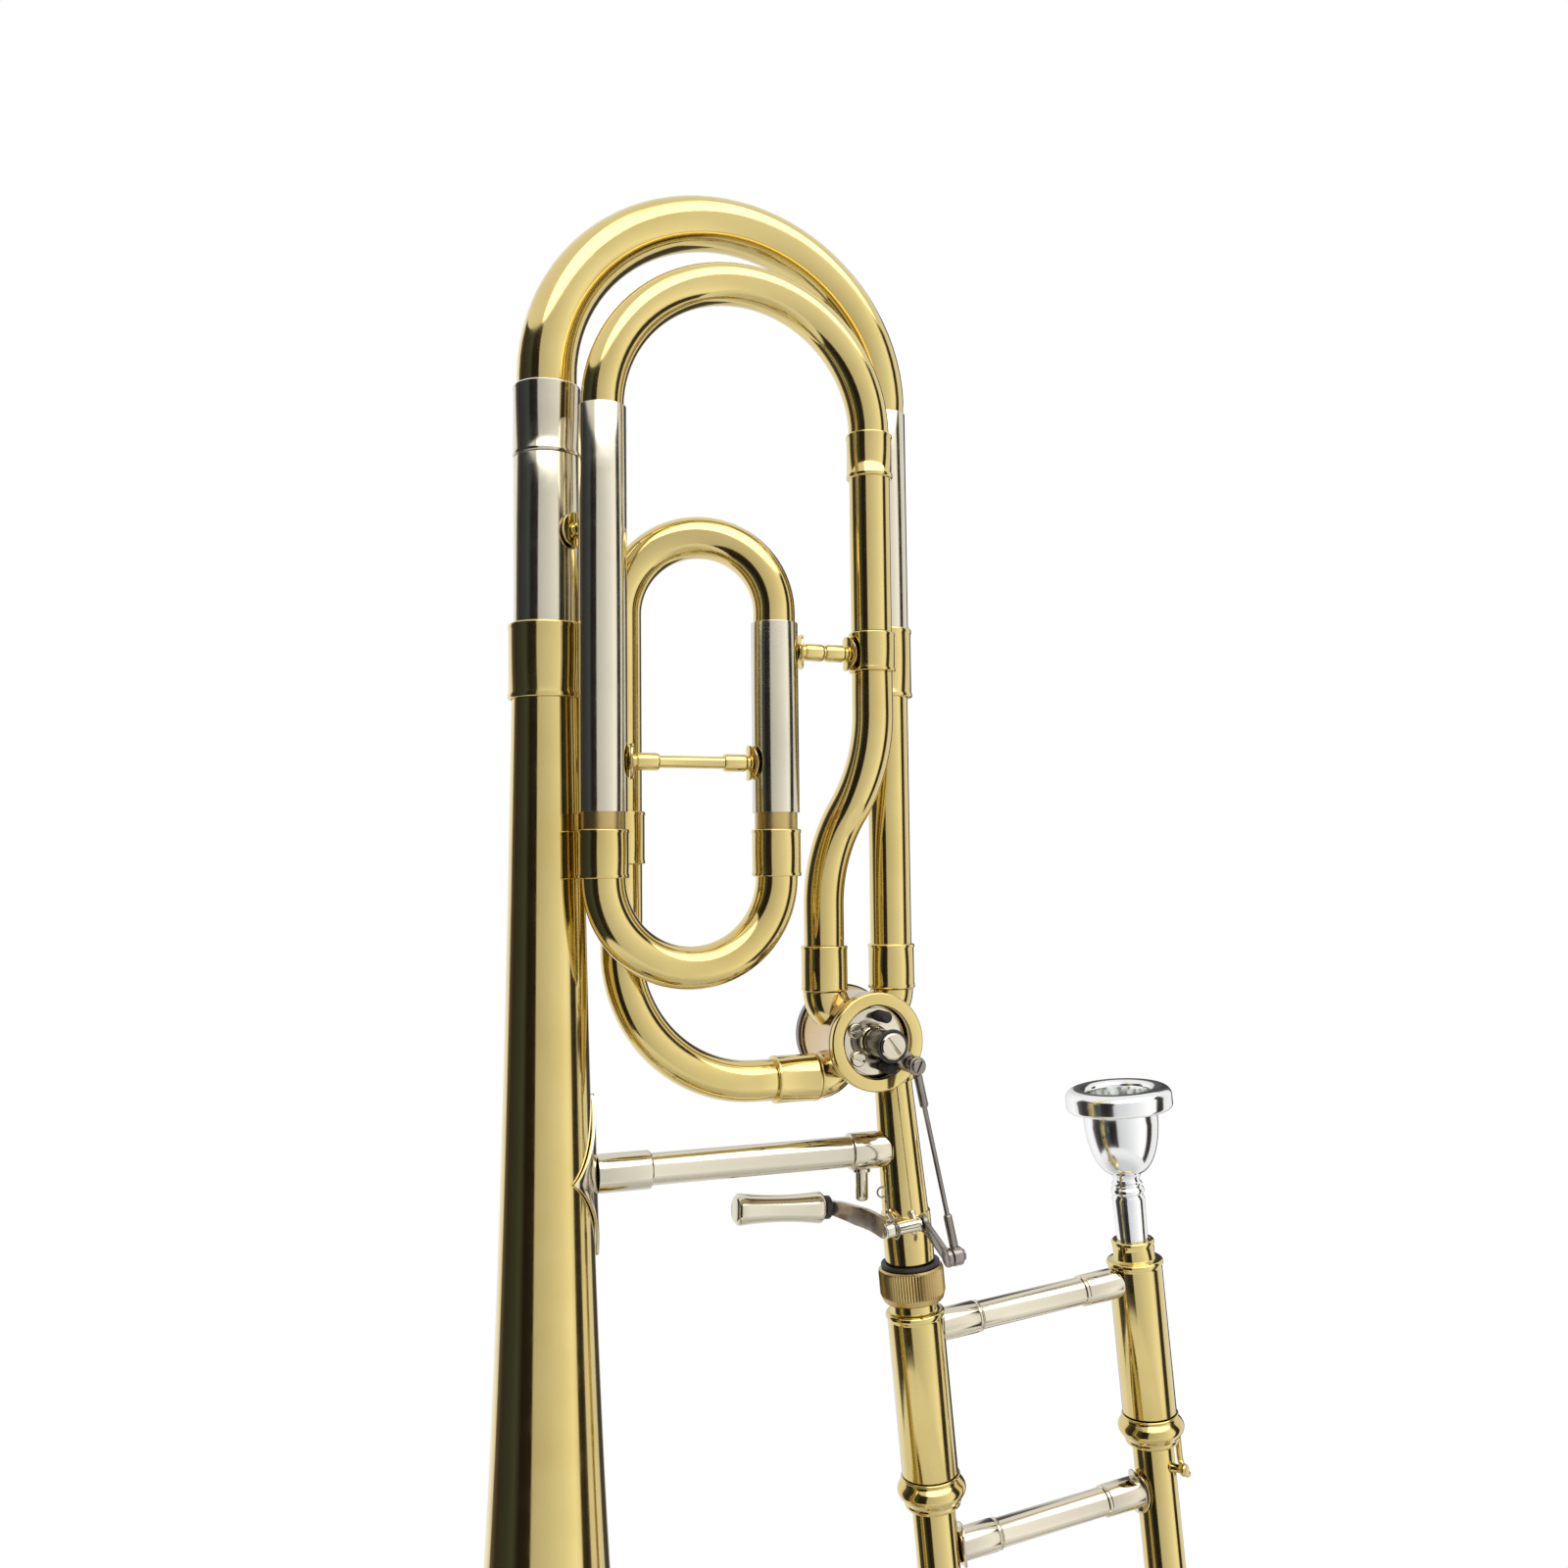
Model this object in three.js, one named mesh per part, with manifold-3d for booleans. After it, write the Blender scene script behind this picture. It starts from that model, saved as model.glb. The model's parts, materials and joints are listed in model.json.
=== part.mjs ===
// Tenor trombone with a rotary valve and a wrapped F attachment, in millimetres.
// The bell axis is Z with the bell's mouth down, and the origin is the centre of the bell's rim.
// X points from the bell to the hand slide, and the wrap lies on the -Y side.

import * as THREE from 'three';
import { mergeVertices } from 'three/addons/utils/BufferGeometryUtils.js';
import Module from 'manifold-3d';

const wasm = await Module();
wasm.setup();
const { Manifold, Mesh: SolidMesh } = wasm;

// General fits.
const SEAT_GAP = 0.3;
const SLIDE_FIT = 0.25;
const SHEET_WALL = 0.6;
const OVERRUN = 4;

// Bell.
const BELL_RIM_RADIUS = 108;
const BELL_FLARE_OFFSET = 23.6;
const BELL_TAIL_RADIUS = 12.55;
const BELL_HEIGHT = 520;
const BELL_SPIGOT = 13;
const BELL_WALL = 0.7;
const BELL_BEAD_RADIUS = 2.2;
const BELL_REST_WIDTH = 2.4;

// Bell-side leg of the main tuning slide.
const BELL_FERRULE_LENGTH = 27;
const BELL_FERRULE_WALL = 1;
const BELL_LEG_RADIUS = 11.9;
const BELL_LEG_LENGTH = 74.5;
const BELL_INNER_LEG_REACH = 53;

// Neck-side leg of the main tuning slide.
const LEG_SPACING = 134;
const MAIN_TUBE_RADIUS = 7.95;
const MAIN_FERRULE_LENGTH = 27;
const MAIN_FERRULE_RADIUS = 9.2;
const MAIN_SOCKET_DEPTH = 14;
const MAIN_LEG_RADIUS = 8.6;
const MAIN_LEG_LENGTH = 99.7;
const MAIN_INNER_LEG_REACH = 82;

// Main tuning bow.
const BOW_BELL_END_RADIUS = 10.9;
const BOW_FERRULE_LENGTH = 26;
const BOW_FERRULE_WALL = 0.8;
const BOW_SPIGOT = 13;
const BOW_LEG_RUN = 4.2;

// F attachment tubing, placed from the bell's axis, the neck-side leg and the valve.
const F_TUBE_RADIUS = 7.65;
const F_PLANE_Y = -19.5;
const F_LONG_LEG_X = 16;
const F_RIGHT_TUBE_INSET = 15;
const F_SHORT_LEG_INSET = 39;
const F_RETURN_X = 27;
const F_SIDE_TUBE_LENGTH = 75.5;
const F_LONG_LEG_LENGTH = 143.5;
const F_SHORT_LEG_RISE = 1.5;
const F_LEG_WALL = 0.6;
const F_INNER_LEG_RADIUS = 7.75;
const F_LONG_INNER_CLEARANCE = 24;
const F_SHORT_INNER_CLEARANCE = 8;
const F_BOW_SPIGOT = 6;
const F_RETURN_BOW_RISE = 4;
const F_SLIDE_DRAW = 6;
const F_SLIDE_FERRULE_LENGTH = 17;
const F_FERRULE_RADIUS = 8.8;
const F_FERRULE_LENGTH = 17;
const F_SIDE_FERRULE_LENGTH = 15;
const F_RETURN_RUN = 31;
const F_RETURN_FERRULE_LENGTH = 19;
const F_QUARTER_BEND_RUN = 7.72;
const F_S_BEND_RADIUS = 62;
const F_S_BEND_RUN = 30.18;

// Rotary valve.
const VALVE_DROP = 126;
const PORT_OFFSET = 14;
const ROTOR_RADIUS = 15.5;
const ROTOR_LENGTH = 18;
const ROTOR_PASSAGE_RADIUS = 6;
const SPINDLE_RADIUS = 3;
const SPINDLE_FRONT_END = 28.6;
const CASING_WALL = 2.6;
const CASING_DEPTH = 30;
const KNUCKLE_RADIUS = 8.3;
const KNUCKLE_BORE_RADIUS = 6.8;
const KNUCKLE_BEND_RADIUS = 9.6;
const PORT_FERRULE_LENGTH = 17;
const PORT_FERRULE_RADIUS = 8.9;
const BEARING_PLATE_THICKNESS = 4.5;
const BEARING_BOSS_RADIUS = 5;
const BEARING_BOSS_LENGTH = 3.6;
const FRONT_RING_THICKNESS = 3;
const FRONT_RING_OPENING = 13.4;
const REAR_CAP_DEPTH = 5;
const REAR_CAP_WALL = 1.2;
const REAR_CAP_LIP = 0.7;

// Stop mechanism on the rotor's spindle.
const STOP_ARM_REACH = 11.5;
const STOP_ARM_WIDTH = 5.5;
const STOP_ARM_END_RADIUS = 3.2;
const STOP_HUB_RADIUS = 5.2;
const STOP_ARM_FRONT = 29;
const STOP_PLATE_THICKNESS = 1.5;
const STOP_PLATE_INNER_RADIUS = 6.6;
const STOP_PLATE_OUTER_RADIUS = 12.6;
const STOP_CORK_RADIUS = 2.2;
const STOP_CORK_CIRCLE = 9.7;
const STOP_CORK_FRONT = 24;
const STOP_SCREW_RADIUS = 1.7;
const STOP_SCREW_HEAD = 1.2;
const ROTOR_SCREW_RADIUS = 4.9;
const ROTOR_SCREW_HEAD = 2.8;
const ROTOR_SCREW_SLOT = 1;
const ROTOR_TURN = Math.PI / 2;

// Valve link.
const LINK_EYE_RADIUS = 3.4;
const LINK_EYE_THICKNESS = 4;
const LINK_ROD_RADIUS = 0.9;
const LINK_SLEEVE_RADIUS = 1.6;
const LINK_SLEEVE_LENGTH = 12;
const LINK_SCREW_RADIUS = 2.2;
const LINK_SCREW_HEAD = 1.4;

// Neckpipe and slide receiver, measured down the leaning neck axis.
const NECK_LEAN = THREE.MathUtils.degToRad(5);
const NECK_TOP_RADIUS = 7.2;
const NECK_FOOT_RADIUS = 8.9;
const NECK_TAPER_LENGTH = 50;
const RECEIVER_SLEEVE_RADIUS = 9.5;
const RECEIVER_SLEEVE_LENGTH = 19;
const RECEIVER_TENON_LENGTH = 11;
const RECEIVER_BORE_RADIUS = 7.95;
const NECK_BORE_RADIUS = 6.6;
const NECK_RING_RADIUS = 11.3;
const NECK_RING_HEIGHT = 1.4;
const LOCK_NUT_RADIUS = 12.8;
const LOCK_NUT_FLUTE = 0.35;
const LOCK_NUT_FLUTES = 18;
const LOCK_NUT_HEIGHT = 13;
const LOCK_NUT_CLEARANCE = 0.4;

// Thumb lever, placed from the neck axis.
const LEVER_DROP = 52;
const LEVER_AXLE_X = -6;
const LEVER_AXLE_Y = -14;
const LEVER_AXLE_RADIUS = 1.2;
const LEVER_BEARING_RADIUS = 2.6;
const LEVER_BEARING_LENGTH = 11;
const LEVER_SADDLE_HEIGHT = 12;
const LEVER_SADDLE_WALL = 1.2;
const LEVER_SADDLE_WEB = 3.4;
const LINK_ARM_REACH = 20;
const LINK_ARM_WIDTH = 4;
const LINK_ARM_THICKNESS = 2;
const LEVER_HUB_RADIUS = 3.4;
const LEVER_HUB_LENGTH = 3.4;
const LEVER_ARM_WIDTH = 6.5;
const LEVER_ARM_THICKNESS = 1.8;
const LEVER_GRIP_INSET = 24.5;
const LEVER_GRIP_Y = 14;
const LEVER_GRIP_RISE = 5;
const LEVER_GRIP_LENGTH = 36;
const LEVER_GRIP_RADIUS = 6;
const LEVER_GRIP_WAIST = 5;
const LEVER_GRIP_BEVEL = 1.6;
const LEVER_GRIP_TILT = THREE.MathUtils.degToRad(9);
const LEVER_COLLAR_RADIUS = 4.4;
const LEVER_COLLAR_LENGTH = 3;
const LEVER_STOP_RADIUS = 2.4;
const LEVER_STOP_INSET = 12.5;
const LEVER_STOP_Y = 3;

// Braces.
const BRACE_SLEEVE_RADIUS = 3.2;
const BRACE_ROD_RADIUS = 2.2;
const BRACE_SLEEVE_LENGTH = 10;
const BRACE_FLANGE_RADIUS = 6.5;
const BRACE_FLANGE_WALL = 1;
const F_SLIDE_BRACE_RISE = 18;
const F_SIDE_BRACE_DROP = 8.5;
const F_SIDE_GROOVE = 1;
const LEG_BRACE_DROP = 42.5;
const BELL_BRACE_DROP = 43;
const BELL_BRACE_RADIUS = 5.75;
const BELL_BRACE_FERRULE_RADIUS = 6.9;
const BELL_BRACE_FERRULE_LENGTH = 21;
const BELL_FLANGE_HEIGHT = 57;
const BELL_FLANGE_WIDTH = 30;
const BELL_FLANGE_WALL = 1.4;

// Hand slide, measured down the slide axis from the top of the neckpipe.
const SLIDE_SPACING = 100;
const BARREL_TOP = 88;
const BARREL_LENGTH = 62;
const BARREL_RADIUS = 10.8;
const BARREL_NECK_RADIUS = 8.8;
const BARREL_WALL = 1.1;
const BARREL_BEAD_LENGTH = 12;
const BARREL_BEAD_RADIUS = 13.2;
const SLIDE_TENON_TOP = 64;
const INNER_TUBE_RADIUS = 7.45;
const INNER_TUBE_WALL = 0.5;
const INNER_TUBE_SOCKET = 8;
const INNER_TUBE_END = 792;
const STOCKING_LENGTH = 100;
const STOCKING_RISE = 0.1;
const OUTER_TUBE_RADIUS = 8.2;
const OUTER_TUBE_BORE_RADIUS = 7.75;
const OUTER_TUBE_TOP = 105;
const OUTER_TUBE_END = 806;
const CROOK_FERRULE_RADIUS = 9.2;
const CROOK_FERRULE_LENGTH = 22;
const CROOK_TUBE_RADIUS = 8;
const SLIDE_BRACE_DROP = 96;
const SLIDE_BRACE_RADIUS = 5.3;
const SLIDE_BRACE_FERRULE_RADIUS = 6;
const SLIDE_BRACE_FERRULE_LENGTH = 17;
const OUTER_BRACE_DROP = 180;
const OUTER_SADDLE_RADIUS = 8.5;
const OUTER_SADDLE_WALL = 1;
const BUMPER_RADIUS = 5.5;
const BUMPER_LENGTH = 11;
const CATCH_STUD_RADIUS = 2.4;
const CATCH_STUD_REACH = 6.5;
const CATCH_STUD_DROP = 171;
const LOCK_HOOK_WIRE = 1.3;
const LOCK_HOOK_LENGTH = 15;
const LOCK_HOOK_WIDTH = 9;
const LOCK_HOOK_ANGLE = THREE.MathUtils.degToRad(-16);
const CATCH_STUD_ANGLE = THREE.MathUtils.degToRad(-62);

// Water key on the crook.
const WATER_KEY_ANGLE = THREE.MathUtils.degToRad(40);
const WATER_KEY_REACH_ANGLE = THREE.MathUtils.degToRad(19);
const WATER_KEY_ARM_WIDTH = 4.5;
const WATER_KEY_ARM_THICKNESS = 1.6;
const WATER_KEY_FINGER_LENGTH = 19;
const WATER_KEY_FINGER_RADIUS = 3.6;
const WATER_KEY_BARREL_RADIUS = 2.3;
const WATER_KEY_BARREL_LENGTH = 6;
const WATER_KEY_PIN_RADIUS = 0.9;
const WATER_KEY_PAD_RADIUS = 4;
const WATER_KEY_PAD_DEPTH = 2.4;
const WATER_NIPPLE_RADIUS = 3;
const WATER_NIPPLE_BORE = 1.5;
const WATER_NIPPLE_HEIGHT = 2.4;
const WATER_POST_THICKNESS = 1.6;
const WATER_POST_WIDTH = 4;

// Mouthpiece and its receiver on the right-hand barrel.
const RECEIVER_COLLAR_RADIUS = 8.6;
const RECEIVER_COLLAR_HEIGHT = 8;
const SHANK_TIP_RADIUS = 5.6;
const SHANK_TAPER = 0.025;
const SHANK_DEPTH = 24;
const MOUTHPIECE_RISE = 62;
const RIM_RADIUS = 21.5;
const RIM_HEIGHT = 9;
const RIM_INNER_RADIUS = 12.8;
const CUP_OUTER_RADIUS = 15;
const CUP_DEPTH = 24;
const CUP_OUTER_DEPTH = 36;
const THROAT_RADIUS = 3.4;
const MOUTHPIECE_WAIST_RADIUS = 5.6;
const MOUTHPIECE_BEAD_RADIUS = 6.7;
const MOUTHPIECE_BEAD_LENGTH = 7;

// Smoothness.
const TUBE_SIDES = 12;
const CLEAR_SIDES = 24;
const BELL_SIDES = 24;
const VALVE_SIDES = 20;
const CUP_SIDES = 16;
const FINE_SIDES = 8;
const BOW_STEPS = 8;
const BEND_STEPS = 4;
const KNUCKLE_STEPS = 2;
const BELL_STEPS = 9;

// Shares that shape curved outlines.
const FLARE_POWER_SHARE = 0.7;
const BOW_GROWTH_SHARE = 0.5;
const QUARTER_SHARE = 0.25;
const EIGHTH_SHARE = 0.125;
const RIM_BEVEL_SHARE = 0.16;
const MID_SHARE = 0.5;

const UP = new THREE.Vector3(0, 0, 1);
const ACROSS = new THREE.Vector3(1, 0, 0);
const BACK = new THREE.Vector3(0, 1, 0);

const model = new THREE.Group();
const neck = new THREE.Group();
const slide = new THREE.Group();
const rightTube = new THREE.Group();

function finish(colour, roughness, metalness = 1) {
  return new THREE.MeshStandardMaterial({ color: colour, roughness, metalness });
}

const brass = finish(0xd9b44a, 0.18);
const nickel = finish(0xb9b4a8, 0.2);
const steel = finish(0x8f8a82, 0.3);
const silver = finish(0xe6e6e2, 0.1);
const rubber = finish(0x15130f, 0.8, 0);
const cork = finish(0x2a2520, 0.9, 0);

function place(parent, name, geometry, material) {
  const mesh = new THREE.Mesh(geometry, material);
  mesh.name = name;
  parent.add(mesh);
  return mesh;
}

// Merges a closed surface's vertices, drops its flat triangles and turns its faces outwards.
function closed(source) {
  const bare = source.clone();
  bare.deleteAttribute('normal');
  bare.deleteAttribute('uv');
  const merged = mergeVertices(bare.index ? bare.toNonIndexed() : bare);
  const points = merged.attributes.position;
  const corners = merged.index.array;
  const kept = [];
  const a = new THREE.Vector3();
  const b = new THREE.Vector3();
  const c = new THREE.Vector3();
  let volume = 0;
  for (let i = 0; i < corners.length; i += 3) {
    const [p, q, r] = [corners[i], corners[i + 1], corners[i + 2]];
    if (p === q || q === r || r === p) {
      continue;
    }
    kept.push(p, q, r);
    a.fromBufferAttribute(points, p);
    b.fromBufferAttribute(points, q);
    c.fromBufferAttribute(points, r);
    volume += a.dot(b.cross(c));
  }
  if (volume < 0) {
    kept.reverse();
  }
  const result = new THREE.BufferGeometry();
  result.setAttribute('position', new THREE.BufferAttribute(points.array.slice(), 3));
  result.setIndex(kept);
  return result;
}

function solid(geometry) {
  const surface = closed(geometry);
  return new Manifold(new SolidMesh({
    numProp: 3,
    vertProperties: Float32Array.from(surface.attributes.position.array),
    triVerts: Uint32Array.from(surface.index.array),
  }));
}

function surface(body) {
  const mesh = body.getMesh();
  const result = new THREE.BufferGeometry();
  result.setAttribute('position', new THREE.BufferAttribute(mesh.vertProperties.slice(), 3));
  result.setIndex(Array.from(mesh.triVerts));
  return result;
}

function joined(...geometries) {
  return geometries.map(solid).reduce((sum, next) => sum.add(next));
}

// A body of revolution about Z from [radius, height] pairs that close on themselves.
function turned(profile, sides = TUBE_SIDES) {
  const points = profile.map(([radius, height]) => new THREE.Vector2(radius, height));
  const onAxis = points[0].x === 0 && points.at(-1).x === 0;
  if (!onAxis) {
    points.push(points[0].clone());
  }
  return closed(new THREE.LatheGeometry(points, sides).rotateX(Math.PI / 2));
}

function sleeve(outer, inner, low, high, sides = TUBE_SIDES) {
  return turned([[inner, low], [outer, low], [outer, high], [inner, high]], sides);
}

function rod(radius, low, high, sides = TUBE_SIDES) {
  return turned([[0, low], [radius, low], [radius, high], [0, high]], sides);
}

function alongX(geometry) {
  return geometry.rotateY(Math.PI / 2);
}

function alongY(geometry) {
  return geometry.rotateX(-Math.PI / 2);
}

// A route through straight runs and arcs in one plane, marked with the tube's radii as it goes.
class Route {
  constructor(start, heading, binormal) {
    this.here = start.clone();
    this.heading = heading.clone().normalize();
    this.binormal = binormal.clone().normalize();
    this.marks = [];
  }

  mark(outer, inner = 0) {
    this.marks.push({ at: this.here.clone(), heading: this.heading.clone(), outer, inner });
    return this;
  }

  run(length) {
    this.here.addScaledVector(this.heading, length);
    return this;
  }

  arc(radius, turn, steps, outerAt, innerAt) {
    const side = Math.sign(turn);
    const inward = this.binormal.clone().cross(this.heading).multiplyScalar(side);
    const centre = this.here.clone().addScaledVector(inward, radius);
    const first = this.heading.clone();
    for (let step = 1; step <= steps; step += 1) {
      const share = step / steps;
      const angle = Math.abs(turn) * share;
      this.here.copy(centre)
        .addScaledVector(inward, -radius * Math.cos(angle))
        .addScaledVector(first, radius * Math.sin(angle));
      this.heading.copy(first).multiplyScalar(Math.cos(angle)).addScaledVector(inward, Math.sin(angle));
      this.mark(outerAt(share), innerAt(share));
    }
    return this;
  }

  tube(sides = TUBE_SIDES) {
    const positions = [];
    const index = [];
    const hollow = this.marks[0].inner > 0;
    const count = this.marks.length;
    for (const wall of hollow ? ['outer', 'inner'] : ['outer']) {
      for (const mark of this.marks) {
        const other = mark.heading.clone().cross(this.binormal);
        for (let side = 0; side < sides; side += 1) {
          const angle = (side / sides) * Math.PI * 2;
          const point = mark.at.clone()
            .addScaledVector(this.binormal, mark[wall] * Math.cos(angle))
            .addScaledVector(other, mark[wall] * Math.sin(angle));
          positions.push(point.x, point.y, point.z);
        }
      }
    }
    const vertex = (ring, side) => ring * sides + (side % sides);
    const quad = (p, q, r, s) => index.push(p, q, r, p, r, s);
    for (let side = 0; side < sides; side += 1) {
      for (let ring = 0; ring + 1 < count; ring += 1) {
        quad(vertex(ring, side), vertex(ring, side + 1), vertex(ring + 1, side + 1), vertex(ring + 1, side));
        if (hollow) {
          const low = ring + count;
          quad(vertex(low, side + 1), vertex(low, side), vertex(low + 1, side), vertex(low + 1, side + 1));
        }
      }
      if (hollow) {
        quad(vertex(count, side), vertex(count, side + 1), vertex(0, side + 1), vertex(0, side));
        const last = count - 1;
        const inner = 2 * count - 1;
        quad(vertex(last, side), vertex(last, side + 1), vertex(inner, side + 1), vertex(inner, side));
      }
    }
    if (!hollow) {
      for (let side = 1; side + 1 < sides; side += 1) {
        index.push(vertex(0, 0), vertex(0, side + 1), vertex(0, side));
        index.push(vertex(count - 1, 0), vertex(count - 1, side), vertex(count - 1, side + 1));
      }
    }
    const result = new THREE.BufferGeometry();
    result.setAttribute('position', new THREE.Float32BufferAttribute(positions, 3));
    result.setIndex(index);
    return closed(result);
  }
}

const same = (value) => () => value;

function point(x, y, z) {
  return new THREE.Vector3(x, y, z);
}

// Bell: a flare that follows an inverse power of the distance from the rim, and a rolled rim.
const bellTailShare = (BELL_FLARE_OFFSET / (BELL_HEIGHT + BELL_FLARE_OFFSET)) ** FLARE_POWER_SHARE;
const bellBaseRadius = (BELL_TAIL_RADIUS - BELL_RIM_RADIUS * bellTailShare) / (1 - bellTailShare);
const bellReach = BELL_RIM_RADIUS - bellBaseRadius;

function bellRadius(height) {
  const share = BELL_FLARE_OFFSET / (height + BELL_FLARE_OFFSET);
  return bellBaseRadius + bellReach * share ** FLARE_POWER_SHARE;
}

const bellTop = BELL_HEIGHT + BELL_SPIGOT;

// Heights grow by an even ratio, so that the steps are short where the flare is quick.
const bellFoot = BELL_BEAD_RADIUS;
const bellRatio = (bellTop + BELL_FLARE_OFFSET) / (bellFoot + BELL_FLARE_OFFSET);
const bellProfile = Array.from({ length: BELL_STEPS + 1 }, (_, step) => {
  const height = (bellFoot + BELL_FLARE_OFFSET) * bellRatio ** (step / BELL_STEPS) - BELL_FLARE_OFFSET;
  return [bellRadius(height), height];
});

// A point inside the bell's sheet, square to the flare.
function bellInside([radius, height]) {
  const share = BELL_FLARE_OFFSET / (height + BELL_FLARE_OFFSET);
  const slope = (-FLARE_POWER_SHARE * bellReach * share ** FLARE_POWER_SHARE) / (height + BELL_FLARE_OFFSET);
  const length = Math.hypot(1, slope);
  return [radius - BELL_WALL / length, height + (BELL_WALL * slope) / length];
}

function bell() {
  const bead = BELL_BEAD_RADIUS;
  const middle = BELL_RIM_RADIUS - bead;
  const lip = BELL_REST_WIDTH / 2;
  const inside = bellProfile.slice(0, -1).map(bellInside).reverse();
  const roll = [
    [middle - lip, 0],
    [middle + lip, 0],
    [BELL_RIM_RADIUS, bead - lip],
    [BELL_RIM_RADIUS, bead + lip],
    [middle + lip, 2 * bead],
    [middle - lip, 2 * bead],
  ];
  const mouth = [bellRadius(bellTop) - BELL_WALL, bellTop];
  place(model, 'bell', turned([...roll, ...bellProfile, mouth, ...inside], BELL_SIDES), brass);
}

const bellFerruleTop = BELL_HEIGHT + BELL_FERRULE_LENGTH;
const bellLegBottom = bellTop + SEAT_GAP;
const bellLegTop = bellLegBottom + BELL_LEG_LENGTH;
const bellInnerLegRadius = BELL_LEG_RADIUS - SHEET_WALL - SLIDE_FIT;

function bellLeg() {
  const bore = BELL_TAIL_RADIUS + SEAT_GAP;
  const seat = BELL_LEG_RADIUS + SEAT_GAP;
  const outer = Math.max(bore, seat) + BELL_FERRULE_WALL;
  const ferrule = turned([
    [bore, BELL_HEIGHT],
    [outer, BELL_HEIGHT],
    [outer, bellFerruleTop],
    [seat, bellFerruleTop],
    [seat, bellLegBottom],
    [bore, bellLegBottom],
  ], BELL_SIDES);
  place(model, 'bell_tail_ferrule', ferrule, brass);
  const leg = sleeve(BELL_LEG_RADIUS, BELL_LEG_RADIUS - SHEET_WALL, bellLegBottom, bellLegTop);
  place(model, 'bell_side_outer_leg', leg, nickel);
}

const bowFerruleBottom = bellLegTop + SEAT_GAP;
const bowFerruleTop = bowFerruleBottom + BOW_FERRULE_LENGTH;
const bowCentre = bowFerruleTop + BOW_LEG_RUN;
const mainLegTop = bowCentre - SEAT_GAP;
const mainLegBottom = mainLegTop - MAIN_LEG_LENGTH;
const mainTubeTop = mainLegBottom - SEAT_GAP;
const mainInnerLegRadius = MAIN_LEG_RADIUS - SHEET_WALL - SLIDE_FIT;
const leverGripX = LEG_SPACING - LEVER_GRIP_INSET;
const leverStopX = LEG_SPACING - LEVER_STOP_INSET;

// The rotor stands beside the neck-side leg, so that its right-hand ports meet the leg and the neckpipe.
const valveX = LEG_SPACING - PORT_OFFSET;
const valveZ = BELL_HEIGHT - VALVE_DROP;
const bellBraceZ = valveZ - BELL_BRACE_DROP;

// The knuckles leave the casing on its diagonals and turn square to the wrap.
const knuckleStart = PORT_OFFSET - KNUCKLE_BEND_RADIUS * (1 - Math.SQRT1_2);
const knuckleReach = knuckleStart + KNUCKLE_BEND_RADIUS * Math.SQRT1_2;
const knuckleEnd = valveZ + knuckleReach;

function mainLeg() {
  const bore = MAIN_TUBE_RADIUS - SHEET_WALL;
  const seat = MAIN_LEG_RADIUS + SEAT_GAP;
  const low = knuckleEnd + SEAT_GAP;
  const portTop = low + PORT_FERRULE_LENGTH;
  const high = mainTubeTop + MAIN_SOCKET_DEPTH;
  const ferruleLow = high - MAIN_FERRULE_LENGTH;
  const tube = turned([
    [bore, low],
    [PORT_FERRULE_RADIUS, low],
    [PORT_FERRULE_RADIUS, portTop],
    [MAIN_TUBE_RADIUS, portTop],
    [MAIN_TUBE_RADIUS, ferruleLow],
    [MAIN_FERRULE_RADIUS + SHEET_WALL, ferruleLow],
    [MAIN_FERRULE_RADIUS + SHEET_WALL, high],
    [seat, high],
    [seat, mainTubeTop],
    [bore, mainTubeTop],
  ]);
  place(model, 'neck_side_tube', tube, brass).position.x = LEG_SPACING;
  const leg = sleeve(MAIN_LEG_RADIUS, MAIN_LEG_RADIUS - SHEET_WALL, mainLegBottom, mainLegTop);
  place(model, 'neck_side_outer_leg', leg, nickel).position.x = LEG_SPACING;
}

// Main tuning slide: a bow that grows from the neck side to the bell side, on two inner legs.
function mainTuningSlide() {
  const bowLow = bowFerruleTop - BOW_SPIGOT;
  const innerTop = bowLow - SEAT_GAP;
  const bowRadius = LEG_SPACING / 2;
  const endWall = SHEET_WALL;
  const small = MAIN_TUBE_RADIUS;
  const large = BOW_BELL_END_RADIUS;
  const grown = (share) => small + (large - small) * share ** BOW_GROWTH_SHARE;
  const route = new Route(point(LEG_SPACING, 0, bowCentre), UP, BACK.clone().negate())
    .mark(small, small - endWall)
    .arc(bowRadius, Math.PI, BOW_STEPS, grown, (share) => grown(share) - endWall)
    .run(bowCentre - bowLow)
    .mark(large, large - endWall);
  place(model, 'main_tuning_bow', route.tube(), brass);
  const seat = bellInnerLegRadius + SEAT_GAP;
  const outer = seat + BOW_FERRULE_WALL;
  const ferrule = turned([
    [seat, bowFerruleBottom],
    [outer, bowFerruleBottom],
    [outer, bowFerruleTop],
    [large + SEAT_GAP, bowFerruleTop],
    [large + SEAT_GAP, bowLow],
    [seat, bowLow],
  ]);
  place(model, 'main_tuning_ferrule', ferrule, nickel);
  const legInner = bellInnerLegRadius - SHEET_WALL;
  const bellInner = sleeve(bellInnerLegRadius, legInner, bellLegTop - BELL_INNER_LEG_REACH, innerTop);
  place(model, 'bell_side_inner_leg', bellInner, nickel);
  const neckInner = sleeve(
    mainInnerLegRadius,
    mainInnerLegRadius - SHEET_WALL,
    mainLegTop - MAIN_INNER_LEG_REACH,
    mainLegTop,
  );
  place(model, 'neck_side_inner_leg', neckInner, nickel).position.x = LEG_SPACING;
}

const fBore = F_TUBE_RADIUS - SHEET_WALL;
const fRightTubeX = LEG_SPACING - F_RIGHT_TUBE_INSET;
const fShortLegX = fRightTubeX - F_SHORT_LEG_INSET;

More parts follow.
